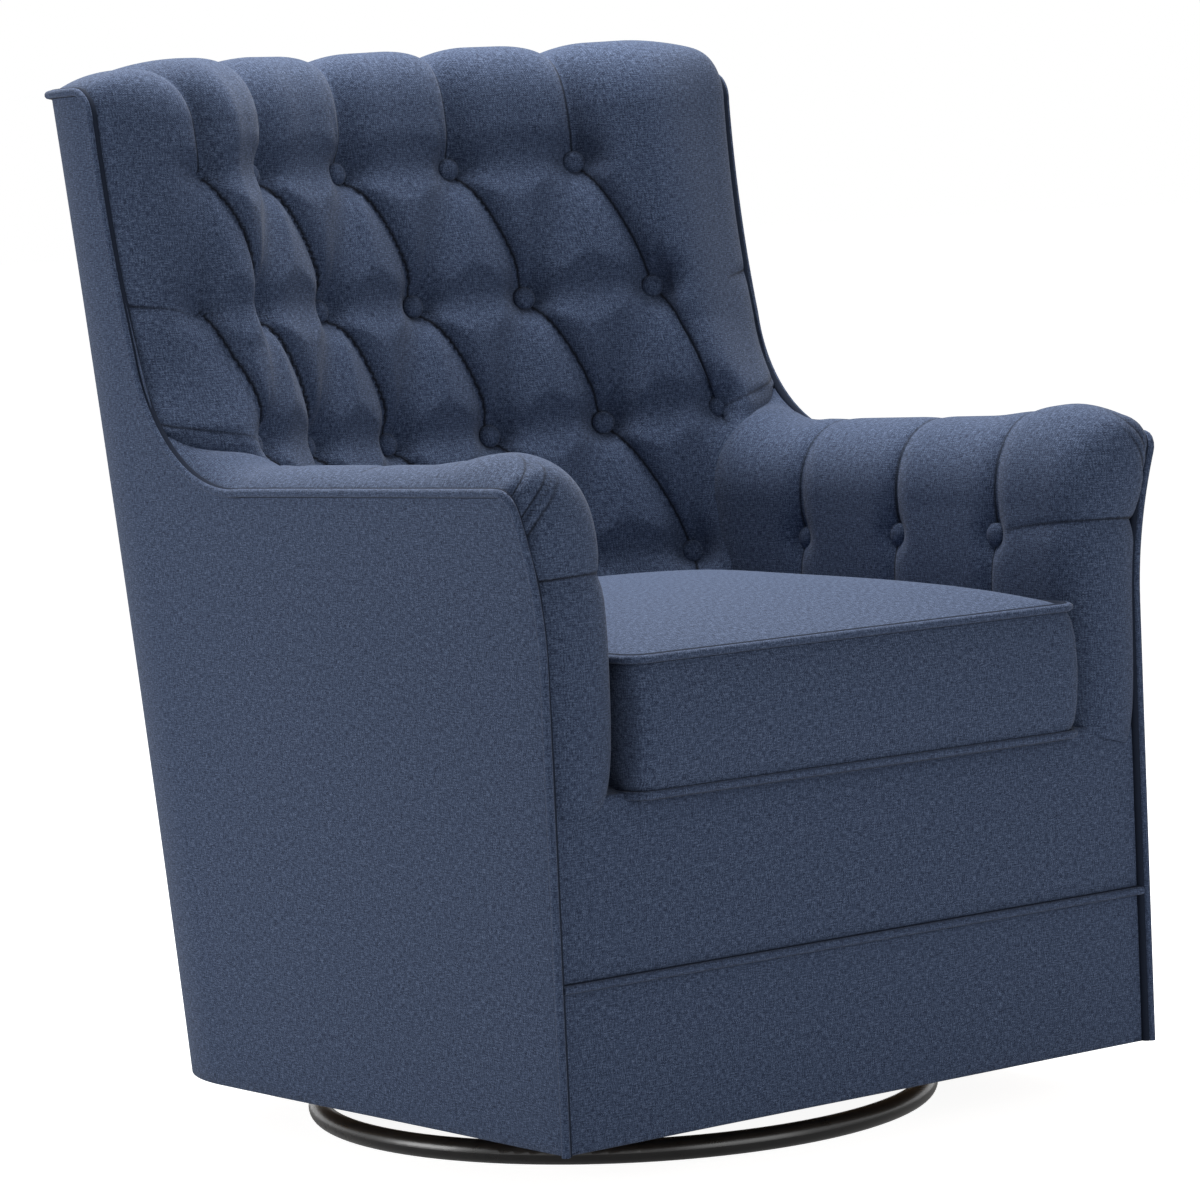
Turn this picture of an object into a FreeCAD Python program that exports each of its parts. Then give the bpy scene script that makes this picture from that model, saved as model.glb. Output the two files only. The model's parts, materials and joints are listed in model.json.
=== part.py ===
import FreeCAD, Part
import math
import os

# A swivel glider chair: a tufted barrel-back tub on four hanging links, over a ball bearing and a ring base.
# Millimetres, +Z up, the sitter faces -Y. Pieces are drawn about the swivel axis, and are then moved
# so that the origin lies on the floor at the middle of the overall width and depth.

Vector = FreeCAD.Vector
X_AXIS = Vector(1, 0, 0)
Y_AXIS = Vector(0, 1, 0)
Z_AXIS = Vector(0, 0, 1)
FAR = 600.0

# Plan of the tub
FRONT_Y = -339.0
FRONT_HALF_WIDTH = 314.0
REAR_HALF_WIDTH = 335.0
WING_SPREAD = 15.0
REAR_Y = 285.0
BACK_RAKE = 0.1478
CORNER_RADIUS = 130.0
BACK_RADIUS = 1500.0

# Heights of the tub
SKIRT_Z = 47.3
BORDER_TOP = 179.0
FRAME_BOTTOM = 182.0
FRAME_TOP = 300.0
ARM_SEAM_Z = 310.0
FLARE_START = 430.0
ARM_FLARE = 27.0
ARM_WELT_Z = 571.0
ARM_DIP_Z = 562.0
ARM_CROWN_Z = 597.0
BACK_WELT_Z = 905.0
CREST_RISE = 20.0

# Layers of the tub wall, from the outside in
COVER = 4.0
GAP = 0.3
BOARD = 24.0
FRONT_PAD = 12.0
FRAME_BELOW_WELT = 14.0
OPEN_FRONT = 30.0

# Inside of the tub
ARM_INNER = 245.0
ARM_ROLL_START = 512.0
ARM_ROLL_X = 292.0
ARM_SHOULDER_IN = 13.0
ARM_SHOULDER_DROP = 34.0
ARM_FALL_OUT = 30.0
ARM_FALL_DROP = 7.0
ARM_EDGE_OUT = 62.0
ARM_EDGE_DROP = 36.0
ARM_REAR = 105.0
BACK_MID_Y = 243.0
BACK_MID_Z = 581.0
INSIDE_RAKE = 0.2195
INSIDE_RADIUS = 365.0
TUFT_DEPTH = 26.0
WING_INNER = 225.0
WING_CROWN_X = 294.0
ROLL_RISE = 26.0

# Tufting
BUTTON_RADIUS = 11.0
BUTTON_HEIGHT = 7.0
BUTTON_RIM = 2.3
BUTTON_PITCH = 56.0
TOP_ROW_DROP = 78.0
LOW_ROW_RISE = 6.0
ROW_PLACES = ((1, 3), (0, 2, 4), (1, 3, 4.6), (0, 2, 3.9))
DIMPLE_MOUTH = 36.0
ARM_DIMPLE_MOUTH = 18.0
PLEAT_HALF_WIDTH = 15.0
PLEAT_LIFT = 9.0
PLEAT_MOUTH = 39.0
CREST_PLEAT_REACH = 1.4
ARM_BUTTON_Z = 484.0
ARM_BUTTONS_Y = (-238.0, -110.0, 18.0)
ARM_PLEAT_DEPTH = 4.0
ARM_PLEAT_TURN = 20.0
ARM_PLEAT_MOUTH = 30.0

# Seat cushion, deck and webbing
CUSHION_FRONT = -352.0
CUSHION_EDGE = 432.0
CUSHION_CROWN = 460.0
CUSHION_CORNER = 30.0
CUSHION_GAP = 7.0
DECK_THICK = 13.0
STRAP_WIDTH = 50.0
STRAP_THICK = 2.0
STRAP_PLACES = (-150.0, -50.0, 50.0, 150.0)
WELT_RADIUS = 3.0
WELT_STAND = 1.0
CORNER_RUNS = 8
BACK_RUNS = 3

# Base ring and cross
RING_RADIUS = 268.0
TUBE_RADIUS = 9.8
FOOT_FLAT = 0.4
SPOKE_WIDTH = 38.0
SPOKE_THICK = 6.0
SPOKE_TOP = 44.0
SPOKE_BEND = 228.0
HUB_RADIUS = 60.0
HUB_THICK = 6.0

# Swivel bearing
BALL_RADIUS = 4.0
BALL_CIRCLE = 42.0
BALL_COUNT = 12
BALL_CLEARANCE = 0.1
RACE_INNER = 32.0
RACE_OUTER = 52.0
RACE_THICK = 7.0
RACE_SPLIT = 2.0
CAGE_THICK = 1.2
CAGE_REACH = 7.2
BOLT_RADIUS = 8.0
BOLT_HEAD_RADIUS = 13.0
BOLT_HEAD = 8.0
NUT_RADIUS = 13.0
NUT_THICK = 10.0
WASHER_RADIUS = 16.0
WASHER_THICK = 2.0
RUNNING_FIT = 0.05

# Glider platform, links and seat rails
PLATE_THICK = 4.0
PLATFORM_HALF_WIDTH = 133.0
PLATFORM_HALF_DEPTH = 135.0
PLATFORM_LIP = 12.0
EAR_THICK = 5.0
EAR_RADIUS = 14.0
EAR_FOOT = 36.0
PIVOT_Y = 105.0
UPPER_PIVOT_Z = 156.0
LINK_LENGTH = 86.0
LINK_THICK = 5.0
LINK_RADIUS = 13.0
LINK_WAIST = 9.0
BUSH_RADIUS = 8.0
BUSH_FLANGE = 11.0
INNER_FLANGE = 1.0
OUTER_FLANGE = 2.0
PIN_RADIUS = 5.0
PIN_HEAD_RADIUS = 8.0
PIN_HEAD = 4.0
RAIL_THICK = 4.0
RAIL_LOBE = 13.0
RAIL_BAR = 26.0
RAIL_FLANGE = 40.0
RAIL_END = 22.0
SLAT_THICK = 24.0
SLAT_WIDTH = 84.0
RAIL_BOLT_RADIUS = 4.0
RAIL_BOLT_HEAD = 7.0

# Wooden members
POST_DEPTH = 45.0
POST_FRONT = 140.0
POST_RAKE = 0.19
ARM_RAIL_DROP = 46.0
ARM_RAIL_TALL = 28.0
TOP_RAIL_DROP = 62.0
TOP_RAIL_TALL = 42.0
LUMBAR_Z = 500.0
LUMBAR_TALL = 45.0
SIDE_RAIL_END = 130.0
BLOCK_LEG = 55.0
BLOCK_TALL = 60.0

# Worked-out places
CREST_Z = BACK_WELT_Z + CREST_RISE
TOP_ROW_Z = BACK_WELT_Z - TOP_ROW_DROP
ROW_STEP = (TOP_ROW_Z - CUSHION_CROWN - LOW_ROW_RISE) / (len(ROW_PLACES) - 1)
FRAME_INSET = COVER + GAP
INNER_INSET = FRAME_INSET + BOARD
WEBBING_TOP = FRAME_TOP + 2 * STRAP_THICK + GAP
DECK_BOTTOM = WEBBING_TOP + GAP
DECK_TOP = DECK_BOTTOM + DECK_THICK
CUSHION_BOTTOM = DECK_TOP + GAP
HUB_TOP = SPOKE_TOP + HUB_THICK
BALL_Z = HUB_TOP + RACE_THICK + RACE_SPLIT / 2
PLATE_BOTTOM = BALL_Z + RACE_SPLIT / 2 + RACE_THICK
PLATE_TOP = PLATE_BOTTOM + PLATE_THICK
LOWER_PIVOT_Z = UPPER_PIVOT_Z - LINK_LENGTH
LINK_X = PLATFORM_HALF_WIDTH + INNER_FLANGE
RAIL_X = LINK_X + LINK_THICK + OUTER_FLANGE


# Small helpers
def box(x0, x1, y0, y1, z0, z1):
    return Part.makeBox(x1 - x0, y1 - y0, z1 - z0, Vector(x0, y0, z0))


def rod(radius, start, axis, length):
    return Part.makeCylinder(radius, length, start, axis)


def line(a, b):
    return Part.makeLine(a, b)


def arc(a, b, c):
    return Part.Arc(a, b, c).toShape()


def mirrored(shape):
    return shape.mirror(Vector(0, 0, 0), X_AXIS)


def prism_across(points_and_arcs):
    """A side-view outline, as (y, z) edges, drawn out over the whole width."""
    edges = []
    for places in points_and_arcs:
        corners = [Vector(-FAR, y, z) for y, z in places]
        edges.append(line(*corners) if len(corners) == 2 else arc(*corners))
    return Part.Face(Part.Wire(edges)).extrude(X_AXIS * 2 * FAR)


def polygon_across(corners):
    loop = list(zip(corners, corners[1:] + corners[:1]))
    return prism_across(loop)


def slab(z0, z1):
    return box(-FAR, FAR, -FAR, FAR, z0, z1)


# Plan outline of the tub at one height
def front_half_width(z):
    rise = min(max((z - FLARE_START) / (ARM_WELT_Z - FLARE_START), 0.0), 1.0)
    return FRONT_HALF_WIDTH + ARM_FLARE * rise ** 2


def rear_half_width(z):
    return REAR_HALF_WIDTH + WING_SPREAD * ((z - SKIRT_Z) / (BACK_WELT_Z - SKIRT_Z)) ** 2


def rear_y(z):
    return REAR_Y + BACK_RAKE * (z - SKIRT_Z)


def plan_points(z, inset, front_inset):
    """Right half of the outline: front corner, side end, corner middle, back start, back middle."""
    nose = Vector(front_half_width(z) - inset, FRONT_Y + front_inset, z)
    radius = CORNER_RADIUS - inset
    centre_x = rear_half_width(z) - CORNER_RADIUS
    back_centre = rear_y(z) - BACK_RADIUS
    reach = BACK_RADIUS - CORNER_RADIUS
    centre_y = back_centre + math.sqrt(reach ** 2 - centre_x ** 2)
    centre = Vector(centre_x, centre_y, z)
    away = centre - nose
    bearing = math.atan2(away.y, away.x) - math.asin(radius / away.Length)
    run = math.sqrt(away.Length ** 2 - radius ** 2)
    side_end = nose + Vector(math.cos(bearing), math.sin(bearing), 0) * run
    turn_start = math.atan2(side_end.y - centre_y, side_end.x - centre_x)
    turn_end = math.atan2(centre_y - back_centre, centre_x)
    turn_mid = (turn_start + turn_end) / 2
    corner_mid = centre + Vector(math.cos(turn_mid), math.sin(turn_mid), 0) * radius
    back_start = centre + Vector(math.cos(turn_end), math.sin(turn_end), 0) * radius
    back_mid = Vector(0, rear_y(z) - inset, z)
    return nose, side_end, corner_mid, back_start, back_mid


def outline(z, inset, front_inset):
    right = plan_points(z, inset, front_inset)
    nose, side_end, corner_mid, back_start, back_mid = right
    left = [Vector(-p.x, p.y, p.z) for p in right]
    edges = [line(left[0], nose), line(nose, side_end), arc(side_end, corner_mid, back_start)]
    edges += [arc(back_start, back_mid, left[3]), arc(left[3], left[2], left[1]), line(left[1], left[0])]
    return Part.Wire(edges)


def side_x(y, z):
    """Half width of the outside of the tub at a place along its side."""
    nose, side_end = plan_points(z, 0, 0)[:2]
    share = min((y - nose.y) / (side_end.y - nose.y), 1.0)
    return nose.x + (side_end.x - nose.x) * share


HULL_LEVELS = (SKIRT_Z, FLARE_START, (FLARE_START + ARM_WELT_Z) / 2, ARM_WELT_Z, BACK_WELT_Z)
CREST_STEPS = ((0.65, 9.0), (1.0, 30.0))


def hull(inset, front_inset):
    return Part.makeLoft([outline(z, inset, front_inset) for z in HULL_LEVELS], True, True)


def pad_hull():
    """Room for the padding: inside the covers, drawn in over the crest."""
    crest = CREST_Z - BACK_WELT_Z
    body = hull(FRAME_INSET, 0)
    tops = [outline(BACK_WELT_Z, FRAME_INSET, 0)]
    tops += [outline(BACK_WELT_Z + crest * rise, FRAME_INSET + draw, 0) for rise, draw in CREST_STEPS]
    return body.fuse(Part.makeLoft(tops, True, True))


# Side view of the welt line: arm top, sweep into the wing, wing, ear, back top
SWEEP_START_Y = 40.0
SWEEP_MID_Y = 150.0
SWEEP_END_Y = 196.0
WING_MID_Y = 219.0
WING_END_Y = 234.0
EAR_MID_Y = 241.0
EAR_END_Y = 258.0
SWEEP_MID_SHARE = 0.1
SWEEP_END_SHARE = 0.335
WING_MID_SHARE = 0.62
EAR_DROP = 25.0
EAR_MID_DROP = 7.0


def up_wing(share):
    """Height at a share of the way from the arm's dip to the welt of the back."""
    return ARM_DIP_Z + (BACK_WELT_Z - ARM_DIP_Z) * share


SWEEP_START = (SWEEP_START_Y, ARM_DIP_Z)
SWEEP_MID = (SWEEP_MID_Y, up_wing(SWEEP_MID_SHARE))
SWEEP_END = (SWEEP_END_Y, up_wing(SWEEP_END_SHARE))
WING_MID = (WING_MID_Y, up_wing(WING_MID_SHARE))
WING_END = (WING_END_Y, BACK_WELT_Z - EAR_DROP)
EAR_MID = (EAR_MID_Y, BACK_WELT_Z - EAR_MID_DROP)
EAR_END = (EAR_END_Y, BACK_WELT_Z)


def under_welt():
    low_front = (-FAR, 0.0)
    high_front = (-FAR, ARM_WELT_Z)
    arm_front = (FRONT_Y, ARM_WELT_Z)
    high_rear = (FAR, BACK_WELT_Z)
    low_rear = (FAR, 0.0)
    return prism_across([
        (low_front, high_front), (high_front, arm_front), (arm_front, SWEEP_START),
        (SWEEP_START, SWEEP_MID, SWEEP_END), (SWEEP_END, WING_MID, WING_END),
        (WING_END, EAR_MID, EAR_END), (EAR_END, high_rear), (high_rear, low_rear), (low_rear, low_front)])


def wing_welt_y(z):
    """Depth of the welt line on the wing at a height, read off its arcs."""
    if z >= SWEEP_END[1]:
        return on_arc(z, SWEEP_END, WING_MID, WING_END)
    return on_arc(z, SWEEP_START, SWEEP_MID, SWEEP_END)


def circle_through(*places):
    """Circle through three (y, z) places, with y as its first axis."""
    return arc(*[Vector(y, z, 0) for y, z in places]).Curve


def on_arc(z, start, middle, end):
    circle = circle_through(start, middle, end)
    reach = math.sqrt(max(circle.Radius ** 2 - (z - circle.Center.y) ** 2, 0.0))
    return circle.Center.x + math.copysign(reach, middle[0] - circle.Center.x)


# Inside of the back
def inside_y(x, z):
    """Depth of the inside back, at the crowns between the tufts."""
    middle = BACK_MID_Y + INSIDE_RAKE * (z - BACK_MID_Z) - TUFT_DEPTH
    return middle - INSIDE_RADIUS + math.sqrt(INSIDE_RADIUS ** 2 - x ** 2)


def lower_back_section(z):
    """Inside arc between the arms, closed far behind."""
    run = [Vector(ARM_INNER, inside_y(ARM_INNER, z), z), Vector(ARM_INNER, FAR, z),
           Vector(-ARM_INNER, FAR, z), Vector(-ARM_INNER, inside_y(ARM_INNER, z), z)]
    front = arc(run[-1], Vector(0, inside_y(0, z), z), run[0])
    return Part.Wire([front] + [line(a, b) for a, b in zip(run, run[1:])])


def upper_back_section(z, height, draw):
    """Inside arc and the two wing rolls; draw moves the front back where the crest curves over."""
    welt_y = wing_welt_y(z) + draw
    inner = Vector(WING_INNER, inside_y(WING_INNER, z) + draw, height)
    crown = Vector(WING_CROWN_X - draw / 2, welt_y - ROLL_RISE, height)
    edge = Vector(side_x(welt_y, z), welt_y, height)
    right = [inner, crown, edge, Vector(FAR, welt_y, height), Vector(FAR, FAR, height)]
    left = [Vector(-p.x, p.y, p.z) for p in right]
    front = arc(left[0], Vector(0, inside_y(0, z) + draw, height), inner)
    edges = [front, arc(inner, crown, edge), line(edge, right[3]), line(right[3], right[4])]
    edges += [line(right[4], left[4]), line(left[4], left[3]), line(left[3], left[2])]
    edges.append(arc(left[2], left[1], left[0]))
    return Part.Wire(edges)


SWEEP_SHARES = (0.03, 0.25, 0.6)
WING_LEVELS = tuple(ARM_DIP_Z + (SWEEP_END[1] - ARM_DIP_Z) * share for share in SWEEP_SHARES)
WING_LEVELS += (SWEEP_END[1], WING_MID[1], WING_END[1])
CREST_DRAWS = ((0.45, 8.0), (0.8, 26.0), (1.0, 52.0))


def back_block():
    foot = DECK_TOP + GAP
    low = WING_LEVELS[0]
    middle = Part.makeLoft([lower_back_section(foot), lower_back_section(low)], True, True)
    leg = box(ARM_INNER, FAR, ARM_REAR + GAP, FAR, foot, low)
    sections = [upper_back_section(z, z, 0.0) for z in WING_LEVELS]
    top = WING_LEVELS[-1]
    sections += [upper_back_section(top, top + (CREST_Z - top) * rise, draw) for rise, draw in CREST_DRAWS]
    arm = arm_block(ARM_REAR + GAP)
    upper = Part.makeLoft(sections, True, True).cut([arm, mirrored(arm)])
    return middle.fuse([leg, mirrored(leg), upper])


# Tufts: a dimple for each button and a pleat between neighbours
def button_rows():
    """Button centres on the back, row by row from the top, left to right."""
    rows = []
    for row, places in enumerate(ROW_PLACES):
        height = TOP_ROW_Z - row * ROW_STEP
        columns = sorted({sign * place for place in places for sign in (-1, 1)})
        xs = [column * BUTTON_PITCH for column in columns]
        rows.append([Vector(x, inside_y(x, height) + TUFT_DEPTH, height) for x in xs])
    return rows


def into_back(x):
    """Direction square to the inside back, pointing into the padding."""
    lean = math.atan(INSIDE_RAKE)
    turn = math.asin(x / INSIDE_RADIUS)
    flat = Vector(math.sin(turn), math.cos(turn), 0)
    return flat * math.cos(lean) - Z_AXIS * math.sin(lean)


def dimple(floor, inward):
    depth = TUFT_DEPTH + BUTTON_HEIGHT
    return Part.makeCone(BUTTON_RADIUS + GAP, DIMPLE_MOUTH, depth, floor, -inward)


def button(floor, inward):
    """A covered button: a low rim under a dome, turned about its own axis."""
    dome = BUTTON_HEIGHT - BUTTON_RIM
    ball = (BUTTON_RADIUS ** 2 + dome ** 2) / (2 * dome)
    half_turn = math.asin(BUTTON_RADIUS / ball) / 2
    shoulder = Vector(ball * math.sin(half_turn), 0, BUTTON_HEIGHT - ball + ball * math.cos(half_turn))
    foot = Vector(0, 0, 0)
    edge = Vector(BUTTON_RADIUS, 0, 0)
    brow = Vector(BUTTON_RADIUS, 0, BUTTON_RIM)
    top = Vector(0, 0, BUTTON_HEIGHT)
    profile = Part.Wire([line(foot, edge), line(edge, brow), arc(brow, shoulder, top), line(top, foot)])
    turned = Part.Face(profile).revolve(foot, Z_AXIS, 360)
    turned.Placement = FreeCAD.Placement(floor, FreeCAD.Rotation(Z_AXIS, -inward))
    return turned


def pleat(start, end, inward, depth):
    """A V-shaped groove whose bottom runs from one point to another."""
    along = (end - start).normalize()
    across = along.cross(inward).normalize() * PLEAT_HALF_WIDTH
    mouth = start - inward * depth
    section = Part.makePolygon([start, mouth + across, mouth - across, start])
    return Part.Face(section).extrude(end - start)


def back_pleats(rows):
    grooves = []
    pairs = []
    for upper, lower in zip(rows, rows[1:]):
        for a in upper:
            pairs += [(a, b) for b in lower if abs(a.x - b.x) < 1.5 * BUTTON_PITCH]
    for a, b in pairs:
        inward = into_back((a.x + b.x) / 2)
        grooves.append(pleat(a - inward * PLEAT_LIFT, b - inward * PLEAT_LIFT, inward, PLEAT_MOUTH))
    for a in rows[0]:
        inward = into_back(a.x)
        up = (Vector(a.x, inside_y(a.x, CREST_Z) + TUFT_DEPTH, CREST_Z) - a).normalize()
        reach = (CREST_Z - a.z) * CREST_PLEAT_REACH
        start = a - inward * PLEAT_LIFT
        grooves.append(pleat(start, start + up * reach, inward, 2 * PLEAT_MOUTH))
    return grooves


def make_back_pad(room, frame_room):
    rows = button_rows()
    pad = back_block().common(room).cut(frame_room)
    tools = [dimple(p, into_back(p.x)) for row in rows for p in row] + back_pleats(rows)
    return pad.cut(tools)


def make_back_buttons():
    return Part.makeCompound([button(p, into_back(p.x)) for row in button_rows() for p in row])


# Arms
def arm_section(y):
    share = (y - FRONT_Y) / (ARM_REAR - FRONT_Y)
    crown = ARM_CROWN_Z - (ARM_WELT_Z - ARM_DIP_Z) * share
    foot = Vector(ARM_INNER, y, ARM_SEAM_Z)
    start = Vector(ARM_INNER, y, ARM_ROLL_START)
    shoulder = Vector(ARM_INNER + ARM_SHOULDER_IN, y, crown - ARM_SHOULDER_DROP)
    top = Vector(ARM_ROLL_X, y, crown)
    fall = Vector(ARM_ROLL_X + ARM_FALL_OUT, y, crown - ARM_FALL_DROP)
    edge = Vector(ARM_ROLL_X + ARM_EDGE_OUT, y, crown - ARM_EDGE_DROP)
    low_edge = Vector(edge.x, y, ARM_SEAM_Z)
    edges = [line(foot, start), arc(start, shoulder, top), arc(top, fall, edge)]
    edges += [line(edge, low_edge), line(low_edge, foot)]
    return Part.Wire(edges)


def arm_button_floor(y):
    return Vector(ARM_INNER + BUTTON_HEIGHT, y, ARM_BUTTON_Z)


def arm_pleat(y):
    """Two grooves from an arm button: up the inside, then over the roll."""
    inner = Vector(ARM_INNER + ARM_PLEAT_DEPTH, y, ARM_BUTTON_Z)
    turn = Vector(inner.x, y, ARM_ROLL_START + ARM_PLEAT_TURN)
    over = Vector(ARM_ROLL_X, y, ARM_CROWN_Z - 3 * ARM_PLEAT_DEPTH)
    slanted = (X_AXIS - Z_AXIS).normalize()
    return [pleat(inner, turn, X_AXIS, ARM_PLEAT_MOUTH / 2), pleat(turn, over, slanted, ARM_PLEAT_MOUTH)]


def arm_block(rear):
    return Part.makeLoft([arm_section(FRONT_Y), arm_section(rear)], True, True)


def make_arm_pad(room, frame_room):
    block = arm_block(ARM_REAR)
    front_edges = [e for e in block.Edges if abs(e.BoundBox.YMax - FRONT_Y) < GAP]
    rounded = [e for e in front_edges if e.BoundBox.ZLength > GAP and e.BoundBox.XMin < ARM_ROLL_X - GAP]
    block = block.makeFillet(FRONT_PAD, rounded)
    pad = block.common(room).cut(frame_room)
    tools = []
    for y in ARM_BUTTONS_Y:
        floor = arm_button_floor(y)
        tools.append(Part.makeCone(BUTTON_RADIUS + GAP, ARM_DIMPLE_MOUTH, 2 * BUTTON_HEIGHT, floor, -X_AXIS))
        tools += arm_pleat(y)
    return pad.cut(tools)


def make_arm_buttons():
    right = [button(arm_button_floor(y), X_AXIS) for y in ARM_BUTTONS_Y]
    return Part.makeCompound(right + [mirrored(b) for b in right])


# Covers
def back_region():
    """Everything behind the rear seams, which lean with the back posts."""
    low = POST_FRONT + POST_DEPTH / 2 - POST_RAKE * FRAME_TOP
    high = low + POST_RAKE * FAR * 2
    return polygon_across([(low, 0.0), (high, 2 * FAR), (2 * FAR, 2 * FAR), (2 * FAR, 0.0)])


def make_covers():
    shell = hull(0, 0).cut(hull(COVER, -OPEN_FRONT)).common(under_welt())
    back = shell.common(back_region())
    sides = shell.cut(back_region())
    right = sides.common(box(0, FAR, -FAR, FAR, 0, 2 * FAR))
    return right, back


def front_strip(room, z0, z1):
    return room.common(box(-FAR, FAR, FRONT_Y - FAR, FRONT_Y + FRONT_PAD, z0, z1))


# Welts
def tube_along(points):
    """A round cord along straight runs with rounded joints."""
    path = Part.makePolygon(points)
    ring = Part.Wire(Part.makeCircle(WELT_RADIUS, points[0], points[1] - points[0]))
    sweep = Part.BRepOffsetAPI.MakePipeShell(path)
    sweep.setTransitionMode(1)
    sweep.add(ring)
    sweep.build()
    sweep.makeSolid()
    return sweep.shape()


def welt_route():
    """Up the front corner, back along the arm, up the wing and over the ear to the middle of the back."""
    stand = WELT_RADIUS + WELT_STAND
    diagonal = stand / math.sqrt(2)
    points = []
    for z in (SKIRT_Z, FLARE_START, (FLARE_START + 2 * ARM_WELT_Z) / 3, ARM_WELT_Z):
        points.append(Vector(front_half_width(z) + diagonal, FRONT_Y - diagonal, z))
    low_y = (SWEEP_START[0] + SWEEP_MID[0]) / 2
    sweep_low = (low_y, wing_height(low_y))
    for y, z in (SWEEP_START, sweep_low, SWEEP_MID, SWEEP_END, WING_MID, WING_END, EAR_END):
        points.append(Vector(side_x(y, z) + stand, y, z))
    nose, side_end, corner_mid, back_start, back_mid = plan_points(BACK_WELT_Z, -stand, 0)
    corner = arc(side_end, corner_mid, back_start)
    back = arc(back_start, back_mid, Vector(-back_start.x, back_start.y, back_start.z))
    points += corner.discretize(CORNER_RUNS + 1)
    points += back.discretize(2 * BACK_RUNS + 1)[1:BACK_RUNS + 1]
    return points


def wing_height(y):
    circle = circle_through(SWEEP_START, SWEEP_MID, SWEEP_END)
    return circle.Center.y - math.sqrt(circle.Radius ** 2 - (y - circle.Center.x) ** 2)


def make_border_welt():
    reach = FRONT_HALF_WIDTH - 2 * WELT_RADIUS
    return rod(WELT_RADIUS, Vector(-reach, FRONT_Y - WELT_RADIUS, BORDER_TOP), X_AXIS, 2 * reach)


# Seat cushion
def cushion_outline(z, inset):
    half = ARM_INNER - CUSHION_GAP - inset
    front = CUSHION_FRONT + inset
    radius = CUSHION_CORNER
    back = inside_y(0, CUSHION_BOTTOM) - CUSHION_GAP - inset
    back_side = inside_y(half, CUSHION_BOTTOM) - CUSHION_GAP - inset
    turn = radius * (1 - math.sqrt(0.5))
    right = [Vector(half - radius, front, z), Vector(half - turn, front + turn, z),
             Vector(half, front + radius, z), Vector(half, back_side, z)]
    left = [Vector(-p.x, p.y, p.z) for p in right]
    edges = [line(left[0], right[0]), arc(*right[:3]), line(right[2], right[3])]
    edges += [arc(right[3], Vector(0, back, z), left[3]), line(left[3], left[2])]
    edges.append(arc(left[2], left[1], left[0]))
    return Part.Wire(edges)


CUSHION_STEPS = ((0.0, 12.0), (0.05, 3.0), (0.4, 6.0), (0.8, 1.0), (0.87, 14.0), (0.955, 62.0), (1.0, 120.0))
LOW_WELT_INSET = -0.1
TOP_WELT_INSET = -2.5


def make_cushion():
    tall = CUSHION_CROWN - CUSHION_BOTTOM
    sections = [cushion_outline(CUSHION_BOTTOM + tall * rise, inset) for rise, inset in CUSHION_STEPS]
    return Part.makeLoft(sections, True, False)


def cushion_welt(z, inset):
    """Front and sides of the cushion, as one cord."""
    edges = cushion_outline(z, inset).Edges
    path = Part.Wire([edges[4], edges[5], edges[0], edges[1], edges[2]])
    start = edges[2].Vertexes[-1].Point
    ring = Part.Wire(Part.makeCircle(WELT_RADIUS, start, Y_AXIS))
    return path.makePipeShell([ring], True, False)


def make_cushion_welts():
    return Part.makeCompound([cushion_welt(CUSHION_BOTTOM + 2 * WELT_RADIUS, LOW_WELT_INSET),
                              cushion_welt(CUSHION_EDGE, TOP_WELT_INSET)])


# Wooden frame, cut from the room between covers and padding
def rails(room, z0, z1):
    """Front, right and rear members of one height."""
    back_of_front = FRONT_Y + FRONT_PAD + GAP + BOARD
    front = room.common(box(-FAR, FAR, -FAR, back_of_front, z0, z1))
    side = room.common(box(0, FAR, back_of_front + GAP, SIDE_RAIL_END, z0, z1))
    rear = room.common(box(-FAR, FAR, SIDE_RAIL_END + GAP, FAR, z0, z1))
    return front, side, rear


def post_region(room_for):
    foot = FRAME_TOP + GAP
    top = BACK_WELT_Z - FRAME_BELOW_WELT - GAP
    lean = POST_RAKE * (top - foot)
    near = POST_FRONT - room_for
    far = POST_FRONT + POST_DEPTH + room_for
    return polygon_across([(near, foot), (near + lean, top), (far + lean, top), (far, foot)])


def make_arm_post(room):
    top = ARM_WELT_Z - ARM_RAIL_DROP
    strip = box(ARM_INNER + BOARD, FAR, -FAR, FRONT_Y + FRONT_PAD + 2 * BOARD, FRAME_TOP + GAP, top)
    return room.common(strip)


def make_arm_rail(room):
    top = ARM_WELT_Z - ARM_RAIL_DROP
    post_face = FRONT_Y + FRONT_PAD + GAP
    foot = top + GAP
    return room.common(box(ARM_INNER + BOARD, FAR, post_face, POST_FRONT, foot, foot + ARM_RAIL_TALL))


def make_back_rail(room, z0, tall):
    front = POST_FRONT + POST_RAKE * (z0 - FRAME_TOP) + POST_DEPTH / 2
    return room.common(box(-FAR, FAR, front, FAR, z0, z0 + tall)).cut(post_region(GAP))


def make_corner_blocks():
    """Triangular blocks in the front corners of the seat box."""
    x = front_half_width(FRAME_BOTTOM) - INNER_INSET
    y = FRONT_Y + FRONT_PAD + GAP + BOARD
    z = FRAME_TOP - BLOCK_TALL
    corners = [Vector(x, y, z), Vector(x - BLOCK_LEG, y, z), Vector(x, y + BLOCK_LEG, z), Vector(x, y, z)]
    right = Part.Face(Part.makePolygon(corners)).extrude(Z_AXIS * BLOCK_TALL)
    return Part.makeCompound([right, mirrored(right)])


def make_webbing(inside):
    low = FRAME_TOP
    high = low + STRAP_THICK + GAP
    half = STRAP_WIDTH / 2
    long_straps = [box(x - half, x + half, -FAR, FAR, low, low + STRAP_THICK) for x in STRAP_PLACES]
    cross_straps = [box(-FAR, FAR, y - half, y + half, high, high + STRAP_THICK) for y in STRAP_PLACES]
    return [Part.makeCompound([s.common(inside) for s in group]) for group in (long_straps, cross_straps)]


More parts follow.
